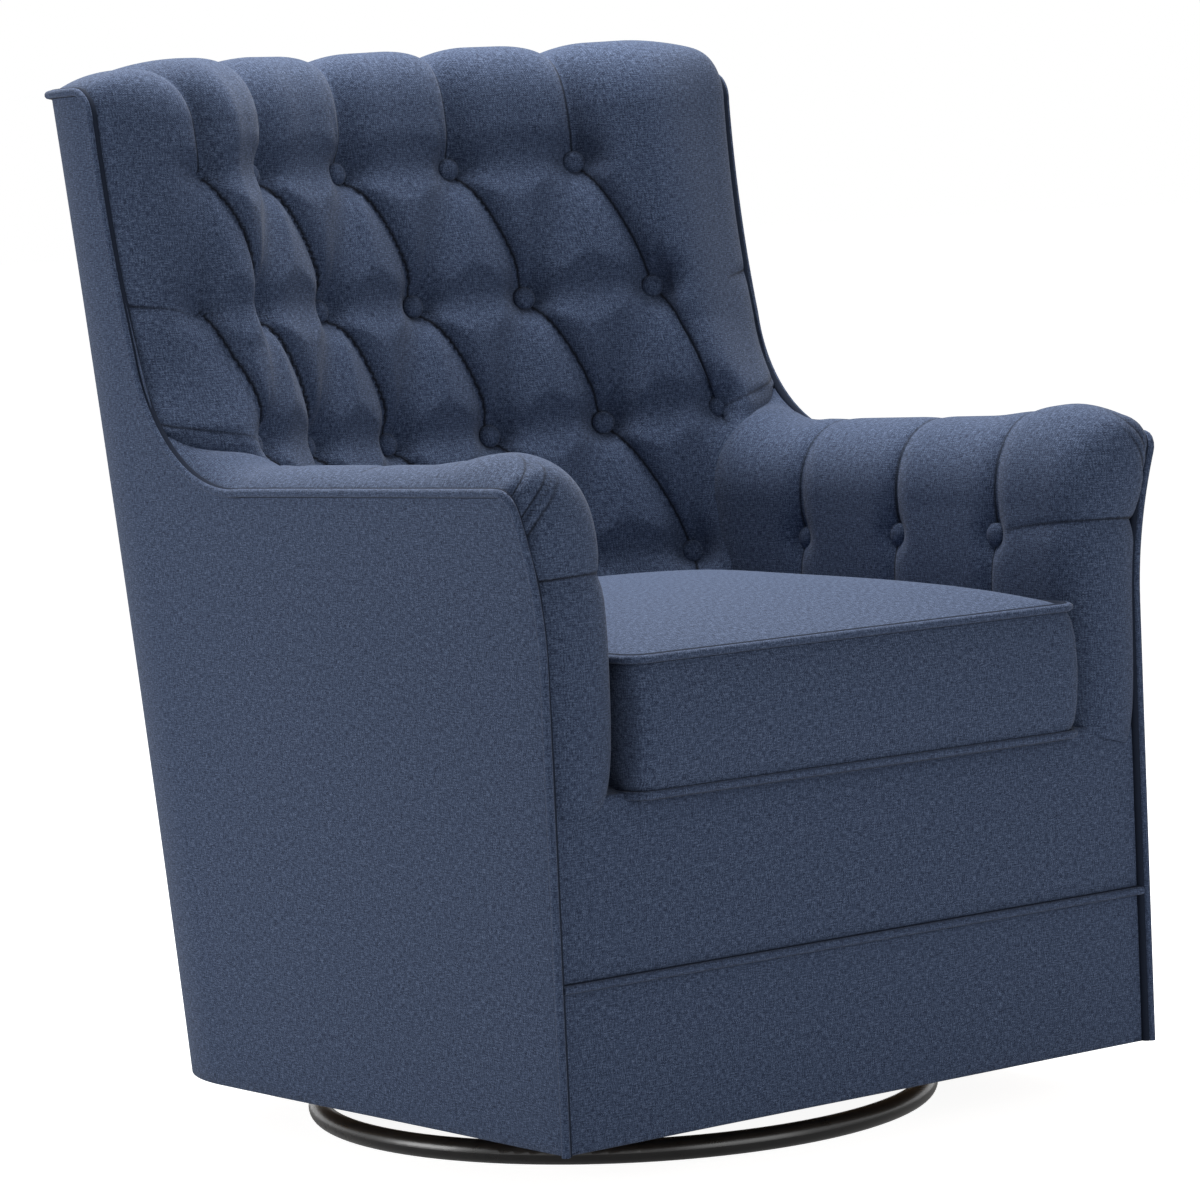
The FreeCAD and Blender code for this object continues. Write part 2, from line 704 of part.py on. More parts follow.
def make_deck(inside):
    half = ARM_INNER - GAP
    return inside.common(box(-half, half, -FAR, FAR, DECK_BOTTOM, DECK_TOP))


def make_slat(inside, y):
    half = SLAT_WIDTH / 2
    slat = inside.common(box(-FAR, FAR, y - half, y + half, FRAME_BOTTOM, FRAME_BOTTOM + SLAT_THICK))
    for place in rail_bolt_places():
        if abs(place.y - y) < half:
            slat = slat.cut(rod(RAIL_BOLT_RADIUS, place, Z_AXIS, FAR))
    return slat


# Base
def make_base_ring():
    """Round tube, with a narrow flat track where it stands on the floor."""
    return ring_torus().common(slab(0, FAR))


def ring_torus():
    return Part.makeTorus(RING_RADIUS, TUBE_RADIUS, Vector(0, 0, TUBE_RADIUS - FOOT_FLAT), Z_AXIS)


def make_base_cross():
    """Two flat bars, bent down at their ends onto the ring and joined at the hub."""
    low = SPOKE_TOP - SPOKE_THICK
    drop = low - TUBE_RADIUS
    end = SPOKE_BEND + drop
    mitre = SPOKE_THICK * math.tan(math.radians(22.5))
    lower = [(0, low), (SPOKE_BEND, low), (end, low - drop), (RING_RADIUS, low - drop)]
    upper = [(RING_RADIUS, low - drop + SPOKE_THICK), (end + mitre, low - drop + SPOKE_THICK),
             (SPOKE_BEND + mitre, SPOKE_TOP), (0, SPOKE_TOP)]
    side = [Vector(r, -SPOKE_WIDTH / 2, z) for r, z in lower + upper]
    spoke = Part.Face(Part.makePolygon(side + side[:1])).extrude(Y_AXIS * SPOKE_WIDTH)
    spokes = []
    for quarter in range(4):
        turned = spoke.copy()
        turned.rotate(Vector(0, 0, 0), Z_AXIS, 45 + 90 * quarter)
        spokes.append(turned)
    cross = spokes[0].fuse(spokes[1:]).removeSplitter()
    return cross.cut(ring_torus()).cut(rod(BOLT_RADIUS, Vector(0, 0, 0), Z_AXIS, FAR))


def make_hub_plate():
    plate = rod(HUB_RADIUS, Vector(0, 0, SPOKE_TOP), Z_AXIS, HUB_THICK)
    return plate.cut(rod(BOLT_RADIUS, Vector(0, 0, 0), Z_AXIS, FAR))


def make_race(z):
    """A flat ring with a ball groove on the side that faces the balls."""
    ring = rod(RACE_OUTER, Vector(0, 0, z), Z_AXIS, RACE_THICK)
    ring = ring.cut(rod(RACE_INNER, Vector(0, 0, z), Z_AXIS, RACE_THICK))
    return ring.cut(Part.makeTorus(BALL_CIRCLE, BALL_RADIUS + BALL_CLEARANCE, Vector(0, 0, BALL_Z), Z_AXIS))


def ball_centres():
    step = 2 * math.pi / BALL_COUNT
    return [Vector(BALL_CIRCLE * math.cos(i * step), BALL_CIRCLE * math.sin(i * step), BALL_Z)
            for i in range(BALL_COUNT)]


def make_balls():
    return Part.makeCompound([Part.makeSphere(BALL_RADIUS, centre) for centre in ball_centres()])


def make_ball_cage():
    low = Vector(0, 0, BALL_Z - CAGE_THICK / 2)
    cage = rod(BALL_CIRCLE + CAGE_REACH, low, Z_AXIS, CAGE_THICK)
    cage = cage.cut(rod(BALL_CIRCLE - CAGE_REACH, low, Z_AXIS, CAGE_THICK))
    below = Z_AXIS * CAGE_THICK
    pocket = BALL_RADIUS + RUNNING_FIT
    pockets = [rod(pocket, centre - below, Z_AXIS, 2 * CAGE_THICK) for centre in ball_centres()]
    return cage.cut(pockets)


def hexagon(radius, z, tall):
    turns = [i * math.pi / 3 for i in range(7)]
    corners = [Vector(radius * math.cos(turn), radius * math.sin(turn), z) for turn in turns]
    return Part.Face(Part.makePolygon(corners)).extrude(Z_AXIS * tall)


def make_pivot_bolt():
    low = SPOKE_TOP - SPOKE_THICK
    top = PLATE_TOP + GAP + WASHER_THICK + NUT_THICK + WASHER_THICK
    head = hexagon(BOLT_HEAD_RADIUS, low - BOLT_HEAD, BOLT_HEAD)
    return head.fuse(rod(BOLT_RADIUS, Vector(0, 0, low), Z_AXIS, top - low)).removeSplitter()


def make_washer():
    low = Vector(0, 0, PLATE_TOP + GAP)
    return rod(WASHER_RADIUS, low, Z_AXIS, WASHER_THICK).cut(rod(BOLT_RADIUS, low, Z_AXIS, WASHER_THICK))


def make_nut():
    low = PLATE_TOP + GAP + WASHER_THICK
    return hexagon(NUT_RADIUS, low, NUT_THICK).cut(rod(BOLT_RADIUS, Vector(0, 0, low), Z_AXIS, NUT_THICK))


# Glider mechanism
def ear_outline(x, y):
    """One ear of the platform: a foot on the plate, slanting sides and a round top at the pivot."""
    top = Vector(x, y, UPPER_PIVOT_Z + EAR_RADIUS)
    right = Vector(x, y + EAR_RADIUS, UPPER_PIVOT_Z)
    left = Vector(x, y - EAR_RADIUS, UPPER_PIVOT_Z)
    low_right = Vector(x, y + EAR_FOOT, PLATE_BOTTOM)
    low_left = Vector(x, y - EAR_FOOT, PLATE_BOTTOM)
    foot = line(low_right, low_left)
    return Part.Wire([arc(left, top, right), line(right, low_right), foot, line(low_left, left)])


def make_platform():
    plate = box(-PLATFORM_HALF_WIDTH, PLATFORM_HALF_WIDTH, -PLATFORM_HALF_DEPTH, PLATFORM_HALF_DEPTH,
                PLATE_BOTTOM, PLATE_TOP)
    lip = box(-PLATFORM_HALF_WIDTH, PLATFORM_HALF_WIDTH, PLATFORM_HALF_DEPTH - PLATE_THICK,
              PLATFORM_HALF_DEPTH, PLATE_BOTTOM, PLATE_TOP + PLATFORM_LIP)
    pieces = [lip, lip.mirror(Vector(0, 0, 0), Y_AXIS)]
    for y in (-PIVOT_Y, PIVOT_Y):
        ear = Part.Face(ear_outline(PLATFORM_HALF_WIDTH - EAR_THICK, y)).extrude(X_AXIS * EAR_THICK)
        pieces += [ear, mirrored(ear)]
    platform = plate.fuse(pieces).removeSplitter()
    for y in (-PIVOT_Y, PIVOT_Y):
        platform = platform.cut(rod(PIN_RADIUS, Vector(-FAR, y, UPPER_PIVOT_Z), X_AXIS, 2 * FAR))
    return platform.cut(rod(BOLT_RADIUS + RUNNING_FIT, Vector(0, 0, 0), Z_AXIS, FAR))


def make_link(y):
    """Flat bar with an eye at each end and a slimmer waist."""
    def eye(z):
        return rod(LINK_RADIUS, Vector(LINK_X, y, z), X_AXIS, LINK_THICK)
    bar = box(LINK_X, LINK_X + LINK_THICK, y - LINK_WAIST, y + LINK_WAIST, LOWER_PIVOT_Z, UPPER_PIVOT_Z)
    link = bar.fuse([eye(LOWER_PIVOT_Z), eye(UPPER_PIVOT_Z)]).removeSplitter()
    for z in (LOWER_PIVOT_Z, UPPER_PIVOT_Z):
        link = link.cut(rod(BUSH_RADIUS, Vector(LINK_X, y, z), X_AXIS, LINK_THICK))
    return link


def make_bush(y, z, outer_flange):
    """Nylon bush in a link eye: an inner flange always, an outer one where the seat rail runs."""
    start = Vector(PLATFORM_HALF_WIDTH, y, z)
    long = INNER_FLANGE + LINK_THICK + (OUTER_FLANGE if outer_flange else 0)
    bush = rod(BUSH_RADIUS, start, X_AXIS, long).fuse(rod(BUSH_FLANGE, start, X_AXIS, INNER_FLANGE))
    if outer_flange:
        bush = bush.fuse(rod(BUSH_FLANGE, Vector(LINK_X + LINK_THICK, y, z), X_AXIS, OUTER_FLANGE))
    return bush.removeSplitter().cut(rod(PIN_RADIUS + RUNNING_FIT, start, X_AXIS, long))


def make_bushes(y):
    right = [make_bush(y, UPPER_PIVOT_Z, False), make_bush(y, LOWER_PIVOT_Z, True)]
    return Part.makeCompound(right + [mirrored(b) for b in right])


def make_upper_pins():
    """Rivets held in the ears, their heads inside, their ends flush with the links."""
    pins = []
    for y in (-PIVOT_Y, PIVOT_Y):
        face = PLATFORM_HALF_WIDTH - EAR_THICK
        long = EAR_THICK + INNER_FLANGE + LINK_THICK
        shank = rod(PIN_RADIUS, Vector(face, y, UPPER_PIVOT_Z), X_AXIS, long)
        head = rod(PIN_HEAD_RADIUS, Vector(face - PIN_HEAD, y, UPPER_PIVOT_Z), X_AXIS, PIN_HEAD)
        pins.append(shank.fuse(head).removeSplitter())
    return Part.makeCompound(pins + [mirrored(p) for p in pins])


def make_lower_pins():
    """Rivets held in the seat rails, their heads outside."""
    pins = []
    for y in (-PIVOT_Y, PIVOT_Y):
        far_face = RAIL_X + RAIL_THICK
        shank = rod(PIN_RADIUS, Vector(LINK_X, y, LOWER_PIVOT_Z), X_AXIS, far_face - LINK_X)
        head = rod(PIN_HEAD_RADIUS, Vector(far_face, y, LOWER_PIVOT_Z), X_AXIS, PIN_HEAD)
        pins.append(shank.fuse(head).removeSplitter())
    return Part.makeCompound(pins + [mirrored(p) for p in pins])


def rail_bolt_places():
    x = RAIL_X + RAIL_THICK + RAIL_FLANGE / 2
    return [Vector(sx * x, sy * PIVOT_Y, FRAME_BOTTOM - RAIL_THICK) for sx in (-1, 1) for sy in (-1, 1)]


def make_seat_rail():
    """Angle rail: a flange under the slats, and a web with two hanging lobes for the lower pivots."""
    top = FRAME_BOTTOM
    end = PIVOT_Y + RAIL_END
    web = box(RAIL_X, RAIL_X + RAIL_THICK, -end, end, top - RAIL_BAR, top)
    flange = box(RAIL_X, RAIL_X + RAIL_THICK + RAIL_FLANGE, -end, end, top - RAIL_THICK, top)
    pieces = [flange]
    for y in (-PIVOT_Y, PIVOT_Y):
        pieces.append(rod(RAIL_LOBE, Vector(RAIL_X, y, LOWER_PIVOT_Z), X_AXIS, RAIL_THICK))
        pieces.append(box(RAIL_X, RAIL_X + RAIL_THICK, y - RAIL_LOBE, y + RAIL_LOBE,
                          LOWER_PIVOT_Z, top - RAIL_BAR))
    rail = web.fuse(pieces).removeSplitter()
    for y in (-PIVOT_Y, PIVOT_Y):
        rail = rail.cut(rod(PIN_RADIUS, Vector(RAIL_X, y, LOWER_PIVOT_Z), X_AXIS, RAIL_THICK))
    for place in rail_bolt_places():
        rail = rail.cut(rod(RAIL_BOLT_RADIUS, place, Z_AXIS, RAIL_THICK))
    return rail


def make_rail_bolts():
    bolts = []
    for place in rail_bolt_places():
        shank = rod(RAIL_BOLT_RADIUS, place, Z_AXIS, RAIL_THICK + SLAT_THICK)
        head = rod(RAIL_BOLT_HEAD, place - Z_AXIS * PIN_HEAD, Z_AXIS, PIN_HEAD)
        bolts.append(shank.fuse(head).removeSplitter())
    return Part.makeCompound(bolts)


# Assembly
def pair(name, right):
    return {"right_" + name: right, "left_" + name: mirrored(right)}


def base_pieces():
    return {"base_ring": make_base_ring(), "base_cross": make_base_cross(), "hub_plate": make_hub_plate(),
            "lower_race": make_race(HUB_TOP), "pivot_bolt": make_pivot_bolt(), "pivot_washer": make_washer(),
            "pivot_nut": make_nut(), "bearing_balls": make_balls(), "ball_cage": make_ball_cage(),
            "upper_race": make_race(PLATE_BOTTOM - RACE_THICK)}


def glider_pieces():
    pieces = {"swivel_platform": make_platform(), "rail_bolts": make_rail_bolts()}
    pieces.update({"upper_pins": make_upper_pins(), "lower_pins": make_lower_pins()})
    for place, y in (("front", -PIVOT_Y), ("rear", PIVOT_Y)):
        pieces.update(pair(place + "_link", make_link(y)))
        pieces[place + "_link_bushes"] = make_bushes(y)
    pieces.update(pair("seat_rail", make_seat_rail()))
    return pieces


def frame_pieces(room, inside):
    front, side, rear = rails(room, FRAME_BOTTOM, FRAME_TOP)
    low_front, low_side, low_rear = rails(room, SKIRT_Z, FRAME_BOTTOM - GAP)
    pieces = {"front_rail": front, "rear_rail": rear}
    pieces.update({"front_skirt_board": low_front, "rear_skirt_board": low_rear})
    pieces.update(pair("side_rail", side))
    pieces.update(pair("skirt_board", low_side))
    pieces.update(pair("arm_post", make_arm_post(room)))
    pieces.update(pair("arm_rail", make_arm_rail(room)))
    right_half = box(0, FAR, -FAR, FAR, 0, 2 * FAR)
    pieces.update(pair("back_post", room.common(post_region(0)).common(right_half)))
    pieces["back_top_rail"] = make_back_rail(room, BACK_WELT_Z - TOP_RAIL_DROP, TOP_RAIL_TALL)
    pieces["back_lumbar_rail"] = make_back_rail(room, LUMBAR_Z, LUMBAR_TALL)
    pieces["corner_blocks"] = make_corner_blocks()
    pieces["front_mount_slat"] = make_slat(inside, -PIVOT_Y)
    pieces["rear_mount_slat"] = make_slat(inside, PIVOT_Y)
    pieces["long_webbing"], pieces["cross_webbing"] = make_webbing(inside)
    pieces["seat_deck"] = make_deck(inside)
    return pieces


def upholstery_pieces(frame_room):
    room = pad_hull()
    side, back = make_covers()
    pieces = {"outside_back": back, "back_pad": make_back_pad(room, frame_room)}
    pieces.update(pair("side_cover", side))
    pieces.update(pair("arm_pad", make_arm_pad(room, frame_room)))
    pieces.update(pair("side_welt", tube_along(welt_route())))
    pieces["front_panel"] = front_strip(room, BORDER_TOP + GAP, ARM_SEAM_Z - GAP)
    pieces["front_border"] = front_strip(room, SKIRT_Z, BORDER_TOP - GAP)
    pieces["border_welt"] = make_border_welt()
    pieces["back_buttons"] = make_back_buttons()
    pieces["arm_buttons"] = make_arm_buttons()
    pieces["seat_cushion"] = make_cushion()
    pieces["cushion_welts"] = make_cushion_welts()
    return pieces


def all_pieces():
    inside = hull(INNER_INSET, FRONT_PAD + GAP + BOARD)
    lowered = under_welt()
    lowered.translate(Vector(0, FRAME_BELOW_WELT, -FRAME_BELOW_WELT))
    walls = lowered.cut(inside)
    pieces = base_pieces()
    pieces.update(glider_pieces())
    pieces.update(frame_pieces(walls.common(hull(FRAME_INSET, FRONT_PAD + GAP)), inside))
    pieces.update(upholstery_pieces(walls.common(hull(-BOARD, FRONT_PAD + GAP))))
    return pieces


def origin_shift():
    """From the swivel axis to the middle of the overall depth."""
    rear = rear_y(BACK_WELT_Z) + 2 * WELT_RADIUS + WELT_STAND
    front = CUSHION_FRONT + TOP_WELT_INSET - WELT_RADIUS
    return Vector(0, -(rear + front) / 2, 0)


os.makedirs("parts", exist_ok=True)
for name, shape in all_pieces().items():
    shape.translate(origin_shift())
    shape.exportStep("parts/" + name + ".step")
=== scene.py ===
# %% [markdown]
# A tufted chair that swivels and glides. The solid model comes in as a fixed frame, in metres, and every
# soft piece is built over it here. Its shapes are formulas on grids of points, because padding that is
# pulled in by buttons is easier to describe by distances to its pleats than by pushing vertices about.

# %% Load the frame
import collections
import json
import math

import bmesh
import bpy
import numpy as np
from mathutils import Matrix, Vector


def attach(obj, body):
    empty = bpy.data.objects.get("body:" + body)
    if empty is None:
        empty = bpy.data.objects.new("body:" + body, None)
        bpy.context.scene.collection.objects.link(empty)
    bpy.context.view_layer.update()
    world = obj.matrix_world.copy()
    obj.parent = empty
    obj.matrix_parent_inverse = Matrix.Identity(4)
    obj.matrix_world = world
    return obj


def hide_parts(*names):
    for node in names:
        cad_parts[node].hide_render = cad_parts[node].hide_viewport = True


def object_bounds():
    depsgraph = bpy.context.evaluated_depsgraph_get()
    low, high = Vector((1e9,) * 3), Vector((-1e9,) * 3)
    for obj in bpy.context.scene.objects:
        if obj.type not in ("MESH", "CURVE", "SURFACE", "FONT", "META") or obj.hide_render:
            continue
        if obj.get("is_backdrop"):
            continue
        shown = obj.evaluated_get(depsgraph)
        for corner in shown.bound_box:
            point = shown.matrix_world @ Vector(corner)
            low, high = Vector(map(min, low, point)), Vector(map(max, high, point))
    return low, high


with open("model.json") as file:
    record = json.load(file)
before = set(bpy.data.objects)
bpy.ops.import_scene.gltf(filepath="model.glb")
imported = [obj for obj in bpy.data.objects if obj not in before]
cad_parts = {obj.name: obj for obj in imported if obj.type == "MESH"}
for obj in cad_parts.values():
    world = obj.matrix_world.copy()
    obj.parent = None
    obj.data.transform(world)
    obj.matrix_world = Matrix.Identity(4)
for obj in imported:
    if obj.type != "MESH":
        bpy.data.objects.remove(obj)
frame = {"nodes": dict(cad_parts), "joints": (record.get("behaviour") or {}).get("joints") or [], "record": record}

cad_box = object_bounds()
swivel = next(joint for joint in frame["joints"] if joint["name"] == "swivel")
AXIS_Y = swivel["pos_m"][1]


def set_all(target, **values):
    for name, value in values.items():
        setattr(target, name, value)


def add_object(name, data):
    """A new object in the scene, for a mesh, a curve, a lamp or a camera."""
    piece = bpy.data.objects.new(name, data)
    bpy.context.collection.objects.link(piece)
    return piece


print("frame of", len(frame["nodes"]), "solids, swivel axis at y =", AXIS_Y)

# %% [markdown]
# The camera stands where the photograph was taken from: low, to the left of the chair, and far away, so
# the lens is long. Its place and axes were fitted to the ring, the welts and the button rows.

# %% Camera
camera_data = bpy.data.cameras.new("camera")
camera_data.sensor_width = 36.0
camera_data.lens = 139.04
camera = add_object("camera", camera_data)
rightward = Vector((0.79518493, -0.60473057, -0.04451812))
upward = Vector((0.08901334, 0.04379395, 0.99506719))
forward = Vector((0.59979793, 0.79522514, -0.08865338))
stand = Vector((-2.434214, -3.225469 + AXIS_Y, 0.802922))
turn = Matrix((rightward, upward, -forward)).transposed()
camera.matrix_world = Matrix.Translation(stand) @ turn.to_4x4()
bpy.context.scene.camera = camera
print("camera", [round(x, 3) for x in camera.location])

# %% [markdown]
# Shader maths reads best as arithmetic. This small class stands for one socket of a material, and its
# operators add Math nodes. Every other kind of node comes from one method.


# %% Sockets that can be added and multiplied
class Socket:
    """An output of a material's node tree that Python's operators work on."""

    def __init__(self, tree, output=None):
        self.tree = tree
        self.output = output

    def node(self, kind, inputs={}, output=0, **settings):
        """A new node of the same tree, as the output that is asked for."""
        made = self.tree.nodes.new("ShaderNode" + kind)
        set_all(made, **settings)
        for key, value in inputs.items():
            if isinstance(value, Socket):
                self.tree.links.new(value.output, made.inputs[key])
            else:
                made.inputs[key].default_value = value
        return Socket(self.tree, made.outputs[output])

    def math(self, operation, *values):
        return self.node("Math", dict(enumerate(values)), operation=operation)

    def __add__(self, other):
        return self.math("ADD", self, other)

    def __rsub__(self, other):
        return self.math("SUBTRACT", other, self)

    def __mul__(self, other):
        return self.math("MULTIPLY", self, other)

    def __gt__(self, other):
        return self.math("GREATER_THAN", self, other)

    __radd__ = __add__
    __rmul__ = __mul__

    def blend(self, low, high):
        """A colour between two others, this socket being the share of the second."""
        return self.node("Mix", {0: self, 6: low, 7: high}, output=2, data_type="RGBA")


def new_material(name, **constants):
    """A material with one shader: constants go straight onto its sockets."""
    material = bpy.data.materials.new(name)
    material.use_nodes = True
    shader = material.node_tree.nodes["Principled BSDF"]
    for socket, value in constants.items():
        shader.inputs[socket.replace("_", " ")].default_value = value
    return material, shader, Socket(material.node_tree)


def feed(shader, socket, value):
    value.tree.links.new(value.output, shader.inputs[socket])


def object_place(graph):
    return graph.node("TexCoord", output="Object")


def noise_at(place, scale, detail):
    return place.node("TexNoise", {"Vector": place, "Scale": scale, "Detail": detail})


def raise_by(shader, height, strength, distance):
    """Lets a height field bend the light as small relief does."""
    settings = {"Strength": strength, "Distance": distance, "Height": height}
    feed(shader, "Normal", height.node("Bump", settings))


print("socket arithmetic ready")

# %% [markdown]
# The cover is a plain weave of navy yarn with lighter and darker slubs. The weave is worked out from the
# object's own coordinates: the two that lie in the surface are picked by which way the surface faces, so
# the threads keep their real size everywhere and nothing has to be unwrapped.

# %% Upholstery cloth
THREAD = 0.0022
NAVY = (0.040, 0.058, 0.106, 1.0)
PALE_YARN = (0.108, 0.145, 0.232, 1.0)
DARK_YARN = (0.012, 0.018, 0.038, 1.0)
PAINTED_SLIT_SHADE = (0.004, 0.005, 0.009, 1.0)
SLIT_SHADE_HALF = 0.0021
SLUB_LONG = 190.0
SLUB_FINE = 900.0
LEVEL_FACING = 0.75


def split_up(vector):
    """The three parts of a vector."""
    made = vector.node("SeparateXYZ", {0: vector}).output.node
    return [Socket(vector.tree, output) for output in made.outputs]


def cloth_coordinates(graph):
    """Two coordinates along the surface, in metres."""
    x, y, z = split_up(object_place(graph))
    facing = graph.node("TexCoord", output="Normal")
    out_x, out_y, out_z = [graph.math("ABSOLUTE", part) for part in split_up(facing)]
    level = out_z > LEVEL_FACING
    sideways = out_x > out_y
    across = sideways * y + (1 - sideways) * x
    along = level * y + (1 - level) * z
    return level * x + (1 - level) * across, along


def slubs(across, along, long, fine):
    """Noise that is drawn out along one thread direction."""
    place = across.node("CombineXYZ", {0: across * long, 1: along * fine, 2: 0.0})
    return noise_at(place, 1.0, 2.0)


def ramp(value, none, full):
    """0 to 1 while the value goes from one limit to the other."""
    return value.node("MapRange", {0: value, 1: none, 2: full})


def attribute(graph, name):
    return graph.node("Attribute", output="Fac", attribute_name=name)


def weave_cloth(name, base=NAVY, contrast=1.0):
    """Weft and warp show by turns, each with its own slubs, and shade is painted into the slits of folds."""
    material, shader, graph = new_material(name, Roughness=0.9, Sheen_Weight=0.06, Sheen_Roughness=0.5,
                                           Specular_IOR_Level=0.12)
    across, along = cloth_coordinates(graph)
    turns = 2 * math.pi / THREAD
    weft = graph.math("SINE", across * turns)
    warp = graph.math("SINE", along * turns)
    checks = weft * warp
    over = checks > 0.0
    weft_slubs = slubs(across, along, SLUB_LONG, SLUB_FINE)
    warp_slubs = slubs(across, along, SLUB_FINE, SLUB_LONG)
    yarn = over * weft_slubs + (1 - over) * warp_slubs
    pale = ramp(yarn, 0.50, 0.68) * (0.85 * contrast)
    dark = ramp(yarn, 0.50, 0.34) * (0.85 * contrast)
    colour = dark.blend(pale.blend(base, PALE_YARN), DARK_YARN)
    # Painted shade: near a fold's slit the base colour turns near-black, standing for the shade inside the fold.
    gap = graph.math("ABSOLUTE", attribute(graph, "fold_offset"))
    slit_shade = ramp(gap, SLIT_SHADE_HALF, 0.0) * attribute(graph, "slit_shade_strength")
    feed(shader, "Base Color", slit_shade.blend(colour, PAINTED_SLIT_SHADE))
    raise_by(shader, checks * 0.4 + yarn * 0.6, 0.35, 0.0005)
    return material


cover_cloth = weave_cloth("cover_cloth")
print("cloth with threads of", THREAD * 1000, "mm")

# %% [markdown]
# The hidden and half-hidden solids keep their own shapes and only need finishes: black satin paint on the
# base, zinc and ground steel in the mechanism, raw hardwood with grain, nylon, and woven straps.

# %% Finishes of the frame


def speckled(name, low, high, scale, rough, **constants):
    """A finish that varies a little in colour and gloss over its surface."""
    material, shader, graph = new_material(name, **constants)
    noise = noise_at(object_place(graph), scale, 4.0)
    feed(shader, "Base Color", noise.blend(low, high))
    feed(shader, "Roughness", rough + noise * 0.15)
    raise_by(shader, noise, 0.12, 0.0004)
    return material


def grained_wood(name):
    material, shader, graph = new_material(name)
    drawn_out = {"Vector": object_place(graph), "Scale": (14.0, 14.0, 90.0)}
    grain = noise_at(graph.node("Mapping", drawn_out), 1.0, 6.0)
    feed(shader, "Base Color", ramp(grain, 0.35, 0.65).blend((0.36, 0.22, 0.11, 1), (0.60, 0.43, 0.26, 1)))
    feed(shader, "Roughness", 0.5 + grain * 0.3)
    raise_by(shader, grain, 0.2, 0.0005)
    return material


finishes = {
    "black_steel": speckled("black_paint", (0.006, 0.006, 0.007, 1), (0.013, 0.013, 0.014, 1), 60, 0.22,
                            Coat_Weight=0.3, Coat_Roughness=0.2),
    "zinc_steel": speckled("zinc_plate", (0.50, 0.51, 0.53, 1), (0.62, 0.62, 0.63, 1), 180, 0.28,
                           Metallic=1.0),
    "bearing_steel": speckled("ground_steel", (0.56, 0.56, 0.58, 1), (0.66, 0.66, 0.67, 1), 300, 0.18,
                              Metallic=1.0),
    "nylon_bush": speckled("nylon", (0.74, 0.71, 0.63, 1), (0.80, 0.78, 0.71, 1), 90, 0.40),
    "webbing_strap": weave_cloth("strap_weave", (0.035, 0.034, 0.033, 1.0), 0.5),
    "deck_cloth": weave_cloth("deck_weave", (0.030, 0.036, 0.052, 1.0), 0.4),
    "frame_wood": grained_wood("raw_hardwood"),
    "upholstery_fabric": cover_cloth,
}
for part in frame["record"]["subparts"]:
    solid = frame["nodes"][part["node"]]
    solid.data.materials.clear()
    solid.data.materials.append(finishes[part["material_slot"]])
print("finishes on", len(frame["nodes"]), "solids")

# %% [markdown]
# The tub's outside is one ruled form. Its plan at any height is a nose at the front corner, a straight
# side, a rounded rear corner and a shallow arc across the back. The sizes here are millimetres about the
# swivel axis, as the chair is drawn, and are moved to the frame at the very end.

# %% Plan of the tub
FRONT_Y = -339.0
SKIRT_Z = 47.3
BORDER_TOP = 179.0
PANEL_TOP = 326.0
FLARE_START = 430.0
ARM_WELT_Z = 571.0
ARM_DIP_Z = 562.0
BACK_WELT_Z = 905.0
CREST_Z = 930.0
CREST_TILT = 0.018
CORNER_RADIUS = 130.0
BACK_RADIUS = 1500.0
FRONT_HALF = 314.0
ARM_FLARE = 27.0
REAR_HALF = 335.0
EAR_SPREAD = 15.0
REAR_DEPTH = 285.0
REAR_LEAN = 0.1478


def front_half(z):
    rise = np.clip((z - FLARE_START) / (ARM_WELT_Z - FLARE_START), 0.0, 1.0)
    return FRONT_HALF + ARM_FLARE * rise ** 2


def rear_half(z):
    return REAR_HALF + EAR_SPREAD * ((z - SKIRT_Z) / (BACK_WELT_Z - SKIRT_Z)) ** 2


def rear_depth(z):
    return REAR_DEPTH + REAR_LEAN * (z - SKIRT_Z)


def plan(z):
    """Side end, corner centre and the corner's two bearings at a height."""
    nose = np.array([front_half(z), FRONT_Y])
    centre_x = rear_half(z) - CORNER_RADIUS
    back_centre = rear_depth(z) - BACK_RADIUS
    reach = BACK_RADIUS - CORNER_RADIUS
    centre = np.array([centre_x, back_centre + math.sqrt(reach ** 2 - centre_x ** 2)])
    away = centre - nose
    length = math.hypot(*away)
    bearing = math.atan2(away[1], away[0]) - math.asin(CORNER_RADIUS / length)
    run = math.sqrt(length ** 2 - CORNER_RADIUS ** 2)
    side_end = nose + run * np.array([math.cos(bearing), math.sin(bearing)])
    start = math.atan2(side_end[1] - centre[1], side_end[0] - centre[0])
    end = math.atan2(centre[1] - back_centre, centre_x)
    return side_end, centre, start, end


def side_x(y, z):
    side_end = plan(z)[0]
    share = min((y - FRONT_Y) / (side_end[1] - FRONT_Y), 1.0)
    return front_half(z) + (side_end[0] - front_half(z)) * share


def to_frame(points):
    """Millimetres about the swivel axis to metres in the frame."""
    return np.asarray(points, float) * 0.001 + np.array([0.0, AXIS_Y, 0.0])


print("outside width at the ears", round(2 * rear_half(BACK_WELT_Z)), "mm")

# %% [markdown]
# Seen from the side, the welt runs back along the arm, sweeps up into the wing and rounds the ear. A line
# and three arcs describe it, and everything that ends at the welt asks these for its place.

# %% Welt line in side view
SWEEP = ((40.0, ARM_DIP_Z), (150.0, 596.0), (196.0, 677.0))
WING = (SWEEP[-1], (219.0, 775.0), (234.0, 880.0))
EAR = (WING[-1], (241.0, 898.0), (258.0, BACK_WELT_Z))


